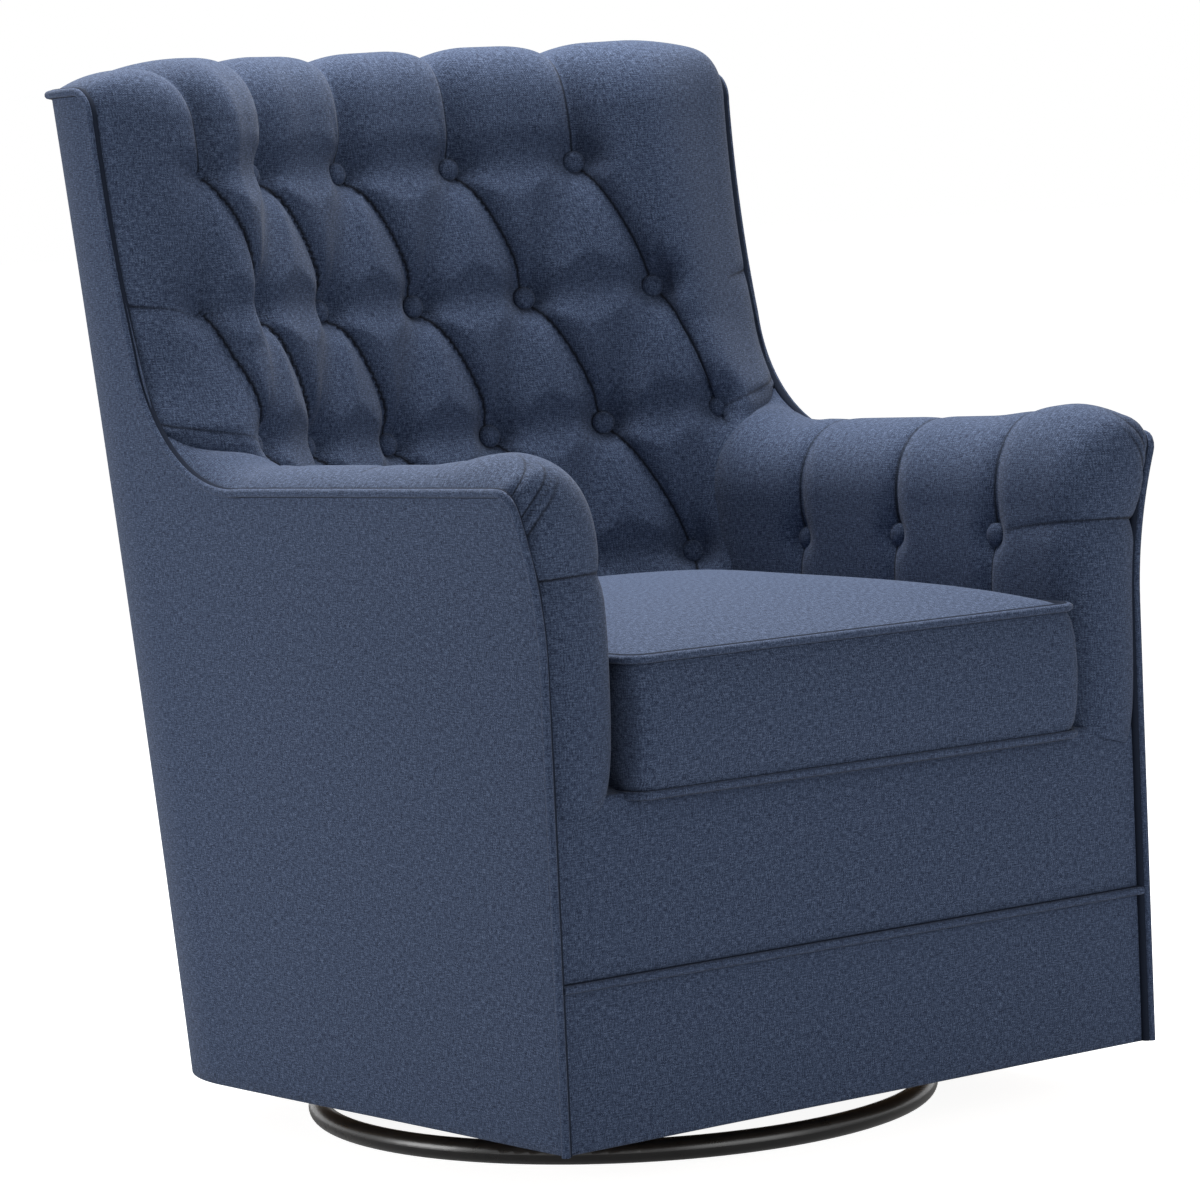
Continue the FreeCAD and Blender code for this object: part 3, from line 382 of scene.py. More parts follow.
def arc_through(first, middle, last, count):
    """Points on the circle arc through three plane points."""
    a, b, c = [complex(*p) for p in (first, middle, last)]
    w = (c - a) / (b - a)
    centre = (b - a) * (w - abs(w) ** 2) / (2j * w.imag) + a
    begin = np.angle(a - centre)
    sweep = np.angle((c - centre) / (a - centre))
    past = np.angle((b - centre) / (a - centre))
    if past * sweep < 0 or abs(past) > abs(sweep):
        sweep -= math.copysign(2 * math.pi, sweep)
    spots = centre + abs(a - centre) * np.exp(1j * (begin + sweep * np.linspace(0, 1, count)))
    return np.column_stack([spots.real, spots.imag])


rise_line = np.vstack([arc_through(*SWEEP, 60), arc_through(*WING, 60)[1:], arc_through(*EAR, 20)[1:]])
side_line = np.vstack([[(FRONT_Y, ARM_WELT_Z)], rise_line])


def welt_depth(z):
    """Depth of the welt where it stands at a height, from the arm upwards."""
    return np.interp(z, rise_line[:, 1], rise_line[:, 0])


def run_along(points):
    """Distance of each point from the start of its line, or of its column in a grid."""
    steps = np.linalg.norm(np.diff(points, axis=0), axis=-1)
    return np.concatenate([np.zeros_like(steps[:1]), np.cumsum(steps, axis=0)])


def sample(places, reach, points):
    """Points of a line at the given distances."""
    return np.column_stack([np.interp(places, reach, column) for column in points.T])


def evenly(points, step):
    """The same line with points at even distances."""
    reach = run_along(points)
    return sample(np.linspace(0, reach[-1], max(int(reach[-1] / step), 2) + 1), reach, points)


def at_height(line, z):
    """A line in plan as points in space."""
    return np.column_stack([line, np.full(len(line), z)])


print("welt line of", len(side_line), "points")

# %% [markdown]
# Most cloth surfaces are grids. This cell turns a grid of points into a mesh that rides on the chair, gives
# it the cover cloth and hides the solid it stands for. The turned and boxed pieces are stitched from loops.

# %% From grid to piece


def grid_mesh(name, grid):
    rows, columns = grid.shape[:2]
    index = np.arange(rows * columns).reshape(rows, columns)
    faces = np.stack([index[:-1, :-1], index[:-1, 1:], index[1:, 1:], index[1:, :-1]], axis=-1)
    mesh = bpy.data.meshes.new(name)
    mesh.from_pydata(to_frame(grid.reshape(-1, 3)).tolist(), [], faces.reshape(-1, 4).tolist())
    mesh.shade_smooth()
    mesh.update()
    return mesh


def clothe(piece, node=None, cloth=cover_cloth):
    """Makes an object a piece of the upholstery, which moves with the chair and may stand for a solid."""
    piece.data.materials.clear()
    piece.data.materials.append(cloth)
    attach(piece, "chair")
    if node:
        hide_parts(node)
    return piece


def dress_grid(name, grid, node):
    return clothe(add_object(name, grid_mesh(name, grid)), node)


def stitch(builder, loops):
    """Faces between neighbouring closed loops of vertices."""
    for low, high in zip(loops, loops[1:]):
        for step in range(len(low)):
            after = (step + 1) % len(low)
            builder.faces.new((low[step], low[after], high[after], high[step]))


def finished_mesh(builder, name):
    mesh = bpy.data.meshes.new(name)
    builder.to_mesh(mesh)
    builder.free()
    return mesh


def mirrored(grid):
    """The same grid on the other side of the chair, still facing outwards."""
    return grid[:, ::-1] * np.array([-1.0, 1.0, 1.0])


def normals_of(grid):
    across = np.gradient(grid, axis=1)
    along = np.gradient(grid, axis=0)
    normal = np.cross(across, along)
    return normal / np.maximum(np.linalg.norm(normal, axis=2, keepdims=True), 1e-9)


def smooth_step(low, high, value):
    share = np.clip((value - low) / (high - low), 0, 1)
    return share * share * (3 - 2 * share)


def soft_waves(a, b, size, depth):
    """Slight unevenness of stretched cloth, the same on every run."""
    waves = np.sin(a / size + 1.3 * np.sin(b / (1.7 * size))) * np.sin(b / (1.3 * size) + 0.7)
    return depth * waves


print("grid tools ready")

# %% [markdown]
# The outside covers are plain panels stretched over the boards. Their columns start at points spread evenly
# along the welt, so the curved top edge stays smooth, and their lowest rows turn under as a hem.

# %% Outside covers
HEM = 14.0
HEM_RISE = 2.0
HEM_ROLL = (1.5, 0.6)
SHEET_SPARE = 1.02
COVER_ROWS = 56
COLUMN_STEP = 8.0


def side_columns(points, heights):
    """Grid of the right side under the given welt points."""
    columns = []
    for (y, z_top), even in zip(points, np.linspace(0, 1, len(points))):
        on_welt = (y - FRONT_Y) / (plan(z_top)[0][1] - FRONT_Y)
        column = []
        for level in heights:
            z = SKIRT_Z + (z_top - SKIRT_Z) * level
            nose = np.array([front_half(z), FRONT_Y])
            share = even + (on_welt - even) * level ** 1.5
            column.append((*(nose + (plan(z)[0] - nose) * share), z))
        columns.append(column)
    return np.array(columns).transpose(1, 0, 2)


def rear_columns(heights, corner_runs, back_runs):
    """Grid of the right rear corner and half the back."""
    rows = []
    for level in heights:
        z = SKIRT_Z + (BACK_WELT_Z - SKIRT_Z) * level
        side_end, centre, start, end = plan(z)
        bearings = np.linspace(start, end, corner_runs + 1)
        corner = centre + CORNER_RADIUS * np.column_stack([np.cos(bearings), np.sin(bearings)])
        back_centre = rear_depth(z) - BACK_RADIUS
        sweep = np.linspace(end, math.pi / 2, back_runs + 1)[1:]
        back = np.column_stack([np.cos(sweep), np.sin(sweep)]) * BACK_RADIUS + (0, back_centre)
        rows.append(at_height(np.vstack([corner, back]), z))
    return np.array(rows)


def with_hem(grid):
    """Two more rows below, turned under the lower edge."""
    out = normals_of(grid)[:1] * np.array([1.0, 1.0, 0.0])
    out[:, [0, -1]] = out[:, [1, -2]]
    under = grid[:1] - out * HEM + (0, 0, HEM_RISE)
    fold = grid[:1] - out * HEM_ROLL[0] - (0, 0, HEM_ROLL[1])
    return np.concatenate([under, fold, grid])


heights = np.linspace(0, 1, COVER_ROWS)
SIDE_END = plan(BACK_WELT_Z)[0][1]
under_welt = [spot for spot in evenly(side_line, COLUMN_STEP) if spot[0] < SIDE_END - COLUMN_STEP / 2]
side_grid = side_columns(under_welt + [(SIDE_END, BACK_WELT_Z)], heights)
spread = np.linspace(0, 1, side_grid.shape[1])
waves = soft_waves(side_grid[..., 1], side_grid[..., 2], 70, 0.5) * (1 - (2 * spread - 1) ** 8)
side_grid = with_hem(side_grid + normals_of(side_grid) * waves[..., None])
half_back = rear_columns(heights, 40, 40)
back_grid = with_hem(np.concatenate([half_back, mirrored(half_back)[:, 1:]], axis=1))


def declare_sheet(piece, carriers):
    """Works out how large the stretched cloth is, from its own mesh and a little to spare, but passes the size on
    nowhere.
    """
    area = sum(face.area for face in piece.data.polygons)
    places = np.array([v.co for v in piece.data.vertices])
    reach = np.sort(places.max(0) - places.min(0))
    flat = (reach[1] * SHEET_SPARE, max(reach[2], area / reach[1]) * SHEET_SPARE)


for side, grid in (("right", side_grid), ("left", mirrored(side_grid))):
    cover = dress_grid(side + "_outside_arm", grid, side + "_side_cover")
    declare_sheet(cover, [side + "_side_rail", side + "_skirt_board", side + "_arm_rail"])
cover = dress_grid("outside_back_cloth", back_grid, "outside_back")
declare_sheet(cover, ["rear_rail", "rear_skirt_board", "back_top_rail"])
print("outside covers of", side_grid.shape[:2], "and", back_grid.shape[:2], "points")

# %% [markdown]
# The front has a padded panel under the cushion and a flatter border below it, with a welt in the seam.
# Both are crowned a little: fabric over wadding is highest in the middle and is drawn in at its seams.

# %% Front panel and border
PANEL_CROWN = 5.0
BORDER_CROWN = 3.0
TOP_ROLL = (34.0, 14.0)


def front_grid(z0, z1, crown):
    """A crowned panel across the front, between two heights."""
    across = np.linspace(-1, 1, 160)
    rows = []
    for z in np.linspace(z0, z1, 44):
        rise = (z - z0) / (z1 - z0)
        level = np.full_like(across, z)
        fade = (1 - across ** 12) * (1 - (2 * rise - 1) ** 6)
        depth = FRONT_Y + 2.0 - crown * fade
        depth = depth - soft_waves(across * FRONT_HALF, level, 60, 0.4)
        rows.append(np.column_stack([across * front_half(z), depth, level]))
    return np.array(rows)


def rolled_top(grid):
    """The same panel, with its top rolled back under the cushion."""
    rows = list(grid)
    for turn in np.linspace(0, 1, 10)[1:] * (math.pi / 2):
        rows.append(grid[-1] + (0, TOP_ROLL[0] * math.sin(turn), TOP_ROLL[1] * (1 - math.cos(turn))))
    return np.array(rows)


panel_grid = rolled_top(front_grid(BORDER_TOP, PANEL_TOP, PANEL_CROWN))
panel = dress_grid("front_panel_cloth", panel_grid, "front_panel")
border_grid = with_hem(front_grid(SKIRT_Z, BORDER_TOP, BORDER_CROWN))
border = dress_grid("front_border_cloth", border_grid, "front_border")
print("front panel and border ready")

# %% [markdown]
# The base of the inside back is a barrel, which runs into a soft wing on each side and rolls over a crest at
# the top. An upholsterer cuts it with spare cloth and folds the surplus from button to button, so here the
# plain base is drawn first and the folds are pressed into it.

# %% Base surface of the inside back
BACK_MID_Y = 243.0
BACK_MID_Z = 581.0
INSIDE_RAKE = 0.2195
INSIDE_RADIUS = 365.0
TUFT_DEPTH = 26.0
BARREL_EDGE = ((597.0, 677.0), (245.0, 225.0))
WING_FOOT = 613.0
WING_TOP = 880.0
WING_LEAD = 22.0
WING_ROLL = (12.0, 24.0)
MOST_HIDDEN = 45.0
BACK_FOOT = 306.0
INNER_COUNT = 84
WING_COUNT = 46
CREST_ROWS = 60
CREST_TURN = 0.35
CREST_LEAN = 0.13
ROW_STEP = 3.0


def inside_y(x, z):
    middle = BACK_MID_Y + INSIDE_RAKE * (z - BACK_MID_Z) - TUFT_DEPTH
    return middle - INSIDE_RADIUS + np.sqrt(INSIDE_RADIUS ** 2 - np.asarray(x, float) ** 2)


def bezier(points, count):
    """A smooth curve steered by four points, from the first to the last."""
    t = np.linspace(0, 1, count)[:, None]
    a, b, c, d = [np.asarray(point, float) for point in points]
    return (1 - t) ** 3 * a + 3 * t * (1 - t) ** 2 * b + 3 * t ** 2 * (1 - t) * c + t ** 3 * d


def back_section(z):
    """Right half of the section at a height, from the middle to the welt, or into the arm below the wing."""
    inner = np.interp(z, *BARREL_EDGE)
    x = np.linspace(0, inner, INNER_COUNT)
    start = np.array([inner, float(inside_y(inner, z))])
    slope = np.array([math.sqrt(INSIDE_RADIUS ** 2 - inner ** 2), -inner]) / INSIDE_RADIUS
    level = max(z, WING_FOOT)
    welt_y = float(welt_depth(level))
    hidden = min(0.5 * (level - z), MOST_HIDDEN)
    edge = np.array([side_x(welt_y, level) - hidden, welt_y + INSIDE_RAKE * (z - level)])
    wing = bezier((start, start + WING_LEAD * slope, edge - WING_ROLL, edge), WING_COUNT + 1)[1:]
    return np.vstack([np.column_stack([x, inside_y(x, z)]), wing])


def crest_rows(front, side):
    """From the top of the front over the crest to the welt at the back, a little higher on one side."""
    top_line = rear_columns([1.0], 40, 60)[0][::-1]
    reach = run_along(front)
    welt_reach = run_along(top_line)
    shares = reach / reach[-1]
    welt = sample(shares * welt_reach[-1], welt_reach, top_line)
    height = CREST_Z + CREST_TILT * front[:, 0] * side
    height = BACK_WELT_Z + (height - BACK_WELT_Z) * (1 - shares ** 16)
    ear = evenly(rise_line[(rise_line[:, 1] >= WING_TOP) & (rise_line[:, 0] < SIDE_END)], 1.0)
    rows = []
    for t in np.linspace(0, 2, CREST_ROWS)[1:]:
        if t < 1:
            share = CREST_TURN * (1 - math.cos(t * math.pi / 2)) + CREST_LEAN * t * (1 - t) ** 2
            rise = front[:, 2] + (height - front[:, 2]) * math.sin(t * math.pi / 2)
        else:
            share = CREST_TURN + (1 - CREST_TURN) * (t - 1)
            rise = height - (height - BACK_WELT_Z) * (t - 1) ** 2.2
        level = front[:, :2] + (welt[:, :2] - front[:, :2]) * share
        row = np.column_stack([level, rise])
        y, z = sample(t / 2, np.linspace(0, 1, len(ear)), ear)[0]
        row += (np.array([side_x(y, z), y, z]) - row[-1]) * (shares ** 14)[:, None]
        rows.append(row)
    return rows


levels = np.append(np.arange(BACK_FOOT, WING_TOP, ROW_STEP), WING_TOP)
half_rows = [at_height(back_section(z), z) for z in levels]
right_half = np.array(half_rows + crest_rows(half_rows[-1], 1))
left_half = np.array(half_rows + crest_rows(half_rows[-1], -1))
back_base = np.concatenate([mirrored(left_half)[:, :-1], right_half], axis=1)
print("inside back grid", back_base.shape[:2])

# %% [markdown]
# Folds in tufted cloth open downwards so that they catch no dust. The pillow above a fold ends in a round
# nose and hangs over it, and the cloth below rises gently from it. A fold is given by its two ends, how far
# it sinks there and in its middle, how much it bows and how wide the padding is on both sides. Buttons pull
# hardest, so folds are shallow in the middle. The slit is finer than any grid, so the grid only carries the
# distance to the fold, and the cloth's shader paints the shade inside the slit into the colour itself.

# %% Folds and buttons
FOLD_DEPTH = 21.0
FOLD_REACH = 8.0
SOFT_LINE = 0.2
# line is how strongly the cloth's shader paints shade into the fold's slit.
Fold = collections.namedtuple("Fold", "start end depth fade bow upper lower line middle",
                              defaults=(FOLD_DEPTH, 0.0, 0.0, 26.0, 46.0, 1.0, 0.0))


def fold_offsets(a, b, fold):
    """Distance to a bowed fold, positive on its upper side, and the share along it."""
    start = np.array(fold.start, float)
    along = np.array(fold.end, float) - start
    length = math.hypot(*along)
    along = along / length
    over = np.array([-along[1], along[0]])
    if over[1] < 0:
        over = -over
    reach = (a - start[0]) * along[0] + (b - start[1]) * along[1]
    share = np.clip(reach / length, 0, 1)
    side = (a - start[0]) * over[0] + (b - start[1]) * over[1] - 4 * fold.bow * share * (1 - share)
    past = reach - share * length
    return np.copysign(np.hypot(side, past), side), share


def press_folds(a, b, folds):
    """How far all the folds sink the padding, with the distance to the nearest slit and the strength of its
    painted shade.
    """
    total = np.zeros_like(a)
    nearest = np.full_like(a, 1000.0)
    strength = np.zeros_like(a)
    for fold in folds:
        offset, share = fold_offsets(a, b, fold)
        near = np.clip(1 - np.abs(offset) / np.where(offset > 0, fold.upper, fold.lower), 0, 1)
        shape = np.where(offset > 0, 1 - np.sqrt(1 - 0.98 * near ** 2), near ** 2)
        if fold.line < SOFT_LINE:
            shape = near ** 2 * (3 - 2 * near)
        sag = (1 - fold.fade * share) * (1 - 4 * fold.middle * share * (1 - share))
        total += (fold.depth * sag * shape) ** 4
        closer = np.abs(offset) < np.abs(nearest)
        nearest = np.where(closer, offset, nearest)
        strength = np.where(closer, fold.line * (1 - 0.6 * fold.fade * share), strength)
    return total ** 0.25, nearest, np.where(np.abs(nearest) < FOLD_REACH, strength, 0.0)


def press_buttons(a, b, places, depth, width):
    """Round dimples under the buttons."""
    return sum(depth * np.exp(-((a - x) ** 2 + (b - z) ** 2) / width ** 2) for x, z in places)


def keep_folds(piece, nearest, strength):
    """Hands the distance to the slits and the strength of their painted shade over to the cloth's shader."""
    for name, values in (("fold_offset", nearest * 0.001), ("slit_shade_strength", strength)):
        layer = piece.data.attributes.new(name, "FLOAT", "POINT")
        layer.data.foreach_set("value", np.ascontiguousarray(values, dtype=np.float32).ravel())


print("folds sink", FOLD_DEPTH, "mm")

# %% [markdown]
# The buttons stand in four rows, each set between those of the next. Sharp folds run down to the right of
# every button and soft ones down to the left. Pleats run on over the crest and down behind the cushion. The
# upholsterer's extra tucks are on the left wing alone, as in the photo.

# %% Tufted inside back
BUTTON_ROWS = (((59, 830), (169, 832)),
               ((0, 706), (108, 708), (212, 714)),
               ((54, 584), (156, 590), (243, 600)),
               ((0, 462), (103, 464), (207, 468)))
WING_TUCKS = ((-254, 832), (-269, 716))
MOST_SIDESTEP = 84.0
DOWN_RIGHT = dict(bow=6.5, middle=0.42)
DOWN_LEFT = dict(depth=17.0, upper=36.0, lower=36.0, line=0.12, middle=0.5)
VALLEY = dict(depth=12.0, upper=36.0, lower=36.0, line=0.0, middle=0.45)
CREST_PLEAT = dict(fade=0.62, upper=42.0, lower=42.0)
CREST_RUN = 220.0
SEAT_PLEAT = dict(depth=12.0, fade=0.3, upper=40.0, lower=40.0)
WING_CREASE = dict(depth=5.0, fade=1.0, upper=12.0, lower=18.0)
WING_CREASES = ((1, 95.0, 6.0), (2, 10.0, 26.0))
WING_RUN = 150.0
GATHER = dict(depth=3.0, fade=1.0, upper=6.0, lower=6.0)
GATHER_LEANS = (-22.0, -5.0, 13.0)
GATHER_RISE = (14.0, 66.0)
BACK_DIMPLE = (13.0, 21.0)
PLUMP = 6.0
EDGE_COLUMNS = 7


def unrolled(x):
    """Distance round the barrel from its middle."""
    return INSIDE_RADIUS * math.asin(x / INSIDE_RADIUS)


def both_sides(row):
    return sorted({(side * x, z) for x, z in row for side in (-1, 1)})


def tuft_fold(start, end, form):
    """A fold between two places on the back, each given by how far aside and how high it is."""
    return Fold((unrolled(start[0]), start[1]), (unrolled(end[0]), end[1]), **form)


def back_folds(rows):
    """Diagonals and soft valleys between the buttons, then pleats over the crest and down to the seat."""
    folds = []
    for upper, lower in zip(rows, rows[1:]):
        for start in upper:
            for end in lower:
                if abs(start[0] - end[0]) < MOST_SIDESTEP:
                    folds.append(tuft_fold(start, end, DOWN_RIGHT if end[0] > start[0] else DOWN_LEFT))
    for row in rows:
        folds += [tuft_fold(start, end, VALLEY) for start, end in zip(row, row[1:])]
    folds += [tuft_fold((x, z), (x, z + CREST_RUN), CREST_PLEAT) for x, z in rows[0]]
    folds += [tuft_fold((x, z), (x, BACK_FOOT), SEAT_PLEAT) for x, z in rows[-1]]
    return folds


def wing_creases(rows):
    """Creases that run in from the wings toward the outermost buttons."""
    folds = []
    for row, inward, rise in WING_CREASES:
        for x, z in (rows[row][0], rows[row][-1]):
            side = math.copysign(1.0, x)
            outer = (unrolled(x) + side * WING_RUN, z + rise)
            folds.append(Fold(outer, (unrolled(x) + side * inward, z), **WING_CREASE))
    return folds


def gathers(places):
    """Fine creases that run up from each button."""
    low, high = GATHER_RISE
    folds = []
    for a, z in places:
        folds += [Fold((a + 0.3 * lean, z + low), (a + lean, z + high), **GATHER) for lean in GATHER_LEANS]
    return folds


def back_coordinates(base, front_rows):
    """Distance round the barrel and height up the back, over the crest too."""
    reach = run_along(base.transpose(1, 0, 2)).T
    middle = base.shape[1] // 2
    a = reach - reach[:, middle:middle + 1]
    up = base[..., 2].copy()
    up[front_rows:] = up[front_rows - 1] + run_along(base[front_rows - 1:])[1:]
    a[front_rows:] = a[front_rows - 1]
    return a, up


button_rows = [both_sides(row) for row in BUTTON_ROWS]
back_spots = [(unrolled(x), z) for row in button_rows for x, z in row]
a, up = back_coordinates(back_base, len(levels))
tucked_rows = [sorted(row + list(WING_TUCKS[index:index + 1])) for index, row in enumerate(button_rows)]
depth, nearest, strength = press_folds(a, up, back_folds(tucked_rows) + wing_creases(button_rows))
depth += press_folds(a, up, gathers(back_spots))[0]
depth += press_buttons(a, up, back_spots, *BACK_DIMPLE)
depth -= PLUMP * smooth_step(330, 250, np.abs(a)) * smooth_step(380, 470, up)
columns = np.arange(back_base.shape[1])
edge_hold = np.clip(np.minimum(columns, columns[::-1]) / EDGE_COLUMNS, 0, 1)
depth = depth * edge_hold + soft_waves(a, up, 45, 0.7)
back_grid = back_base - normals_of(back_base) * depth[..., None]
inside_back = dress_grid("inside_back_tufted", back_grid, "back_pad")
keep_folds(inside_back, nearest, strength)
print(len(back_spots), "dimples on the back, deepest", round(float(depth.max()), 1), "mm")

# %% [markdown]
# An arm is upholstered from inside: the cloth comes out of the crease at the back, runs up the inner face,
# rolls over the top to the welt, and at the front wraps round the nose to the welt down the front corner.
# Each station of the grid rises from a point on that path and ends on the welt. The last stations fan out
# over the nose and end round the corner, which is how the spare cloth is gathered on the real arm.

# %% Inside arms
ARM_INNER = 240.0
ARM_FOOT = 306.0
ROLL_START = 512.0
FAN_START = -285.0
CORNER_TURN = 14.0
STATION_STEP = 3.0
RISE_ROWS = 64
ROLL_ROWS = 46
ROLL_LOW = 22.0
ROLL_HIGH = 38.0
FRONT_RAISE = 14.0
REAR_DROP = (32.0, 33.0)
FOOT_RISE = 16.0


def arm_path():
    """Foot of the arm's cloth from the crease at the back, along the seat and round the nose."""
    outer = front_half(ARM_FOOT)
    rear = bezier(((272, 160), (238, 156), (224, 130), (230, 92)), 30)
    bend = bezier(((230, 92), (234, 62), (ARM_INNER, 30), (ARM_INNER, -20)), 20)
    nose = bezier(((ARM_INNER, -308), (ARM_INNER, -356), (294, -362), (outer, FRONT_Y - 1)), 50)
    return evenly(np.vstack([rear, bend[1:], nose]), STATION_STEP)


def arm_welt_path():
    """The welt as depth and height, from the wing's foot along the arm, round the corner and down."""
    sweep = rise_line[rise_line[:, 1] <= WING_FOOT][::-1]
    bend = np.linspace(0, math.pi / 2, 12)
    corner_y = FRONT_Y + CORNER_TURN * (1 - np.sin(bend))
    corner_z = ARM_WELT_Z - CORNER_TURN * (1 - np.cos(bend))
    corner = np.column_stack([corner_y, corner_z])
    return evenly(np.vstack([sweep, corner, [(FRONT_Y, ROLL_START)]]), 1.0)


def arm_ends(path):
    """Where each station ends on the welt, and how far round the nose it is."""
    welt = arm_welt_path()
    first_fan = int(np.argmax(path[:, 1] < FAN_START))
    fan = np.clip((np.arange(len(path)) - first_fan) / (len(path) - 1 - first_fan), 0, 1)
    at_y = np.interp(-np.minimum(path[:, 1], welt[0, 0]), -welt[:, 0], np.arange(len(welt)))
    fan_from = np.interp(-FAN_START, -welt[:, 0], np.arange(len(welt)))
    place = np.where(fan > 0, fan_from + (len(welt) - 1 - fan_from) * fan, at_y)
    y, z = sample(place, np.arange(len(welt)), welt).T
    x = np.array([side_x(*spot) for spot in zip(y, z)])
    return np.column_stack([x, y, z]), fan


def roll_curve(start, end, fan):
    """Over the arm's top from the inner face to the welt; round the nose the crown turns to the front."""
    toward = (end - start) * (1, 1, 0)
    front = smooth_step(180, 300, -start[1])
    rear = smooth_step(105, 165, start[1])
    ease = 1 - fan ** 2
    low = ROLL_LOW + FRONT_RAISE * front - REAR_DROP[0] * rear
    high = ROLL_HIGH + FRONT_RAISE * front - REAR_DROP[1] * rear
    push = np.array([0, -math.sin(fan * math.pi / 2), math.cos(fan * math.pi / 2)])
    first = start + np.array([0, 0, (end[2] + low * ease - start[2]) * ease])
    second = end - 0.25 * toward + push * high * ease
    return bezier((start, first, second, end), ROLL_ROWS + 1)[1:]


def arm_surface():
    """Grid of the right arm, the path of its foot and how far round the nose each station is."""
    path = arm_path()
    ends, fan = arm_ends(path)
    nose = np.clip((path[:, 0] - ARM_INNER) / (path[-1, 0] - ARM_INNER), 0, 1) * (path[:, 1] < 0)
    lean = 0.7 * np.clip((60 - path[:, 1]) / 360, 0, 1) + 0.3 * nose
    foot = ARM_FOOT + FOOT_RISE * smooth_step(270, 330, -path[:, 1]) * (1 - nose)
    columns = []
    for spot, end, turn, tilt, low in zip(path, ends, fan, lean, foot):
        heights = np.linspace(low, ROLL_START, RISE_ROWS)
        x = spot[0] + tilt * (front_half(heights) - front_half(ARM_FOOT))
        rise = np.column_stack([x, np.full(RISE_ROWS, spot[1]), heights])
        columns.append(np.vstack([rise, roll_curve(rise[-1], end, turn)]))
    return np.array(columns).transpose(1, 0, 2), path, fan


arm_base, foot_path, fan = arm_surface()
print("arm grid", arm_base.shape[:2])

# %% [markdown]
# Each arm button draws a pleat up over the arm and a softer one down to the seat. Finer lines gather the
# cloth round the nose.

# %% Folds of the arms
ARM_BUTTONS = ((-238.0, 488.0), (-110.0, 484.0), (18.0, 477.0))
ARM_DIMPLE = (6.0, 16.0)
UP_PLEAT = dict(depth=10.0, fade=0.9, upper=26.0, lower=26.0)
UP_RUN = 150.0
DOWN_PLEAT = dict(depth=6.0, fade=0.3, upper=24.0, lower=24.0)
NOSE_FOLD = dict(depth=6.0, fade=0.8, bow=6.0, upper=16.0, lower=24.0)
NOSE_LINE = dict(depth=4.0, fade=1.0, upper=10.0, lower=10.0)
NOSE_SHARES = (0.5, 0.66, 0.82)
NOSE_LEAN = 0.34
NOSE_RUN = 46.0
FRONT_TUCK = 9.0
TUCK_FADE = 28.0
WELT_HOLD = 10.0
lifts = run_along(arm_base)
arm_up = lifts + arm_base[0, :, 2]
runs = np.arange(arm_base.shape[1]) * STATION_STEP
arm_a = np.broadcast_to(runs, arm_up.shape)
arm_spots = [(float(np.interp(-y, -foot_path[:, 1], runs)), z) for y, z in ARM_BUTTONS]
arm_folds = []
for run, z in arm_spots:
    arm_folds.append(Fold((run, z), (run, z + UP_RUN), **UP_PLEAT))
    arm_folds.append(Fold((run, z), (run, ARM_FOOT), **DOWN_PLEAT))
front_run, front_z = arm_spots[0]
arm_folds.append(Fold((runs[-1], front_z + 12), (front_run + 25, front_z + 6), **NOSE_FOLD))
for share in NOSE_SHARES:
    column, across = [int(np.argmin(np.abs(fan - place))) for place in (share, share - NOSE_LEAN)]
    tip = (runs[across], arm_up[-1, across] - NOSE_RUN)
    arm_folds.append(Fold((runs[column], arm_up[-1, column]), tip, **NOSE_LINE))
arm_depth, arm_nearest, arm_strength = press_folds(arm_a, arm_up, arm_folds)
arm_depth += press_buttons(arm_a, arm_up, arm_spots, *ARM_DIMPLE)
welt_hold = np.clip((arm_up[-1] - arm_up) / WELT_HOLD, 0, 1)
front_tuck = FRONT_TUCK * smooth_step(290, 330, -arm_base[..., 1]) * np.exp(-lifts / TUCK_FADE)
arm_depth = arm_depth * welt_hold + soft_waves(arm_a, arm_up, 40, 0.6) + front_tuck
arm_grid = arm_base - normals_of(arm_base) * arm_depth[..., None]
for side, grid, turn in (("right", arm_grid, 1), ("left", mirrored(arm_grid), -1)):
    arm = dress_grid(side + "_inside_arm", grid, side + "_arm_pad")
    keep_folds(arm, arm_nearest[:, ::turn], arm_strength[:, ::turn])
print("folds on each arm", len(arm_folds), "deepest", round(float(arm_depth.max()), 1), "mm")

# %% [markdown]
# A covered button is a metal shell with cloth drawn over it: a low dome with a soft rim. One turned profile
# serves all of them, set into each dimple and facing the way the padding faces there.

# %% Covered buttons
BUTTON_RADIUS = 10.5
BUTTON_HEIGHT = 6.0
BUTTON_SKIRT = 9.0
BACK_BUTTON_SINK = 22.5
ARM_BUTTON_SINK = 12.0
BUTTON_SIDES = 24


def turned_button(builder, floor, facing):
    """Adds one button to a mesh, its rim at the floor point."""
    turn = Vector(facing).normalized().to_track_quat("Z", "Y")
    rings = [(BUTTON_RADIUS * 0.9, -BUTTON_SKIRT)]
    for bend in np.linspace(0, 0.98, 10) * math.pi / 2:
        rings.append((BUTTON_RADIUS * math.cos(bend) ** 0.8, BUTTON_HEIGHT * math.sin(bend)))
    loops = []
    for radius, height in rings:
        loop = []
        for around in np.arange(BUTTON_SIDES) * 2 * math.pi / BUTTON_SIDES:
            local = turn @ Vector((radius * math.cos(around), radius * math.sin(around), height))
            loop.append(builder.verts.new(to_frame(np.array(floor) + np.array(local))))
        loops.append(loop)
    stitch(builder, loops)
    builder.faces.new(loops[-1])


def button_piece(name, places, node):
    builder = bmesh.new()
    for floor, facing in places:
        turned_button(builder, floor, facing)
    mesh = finished_mesh(builder, name)
    mesh.shade_smooth()
    clothe(add_object(name, mesh), node)


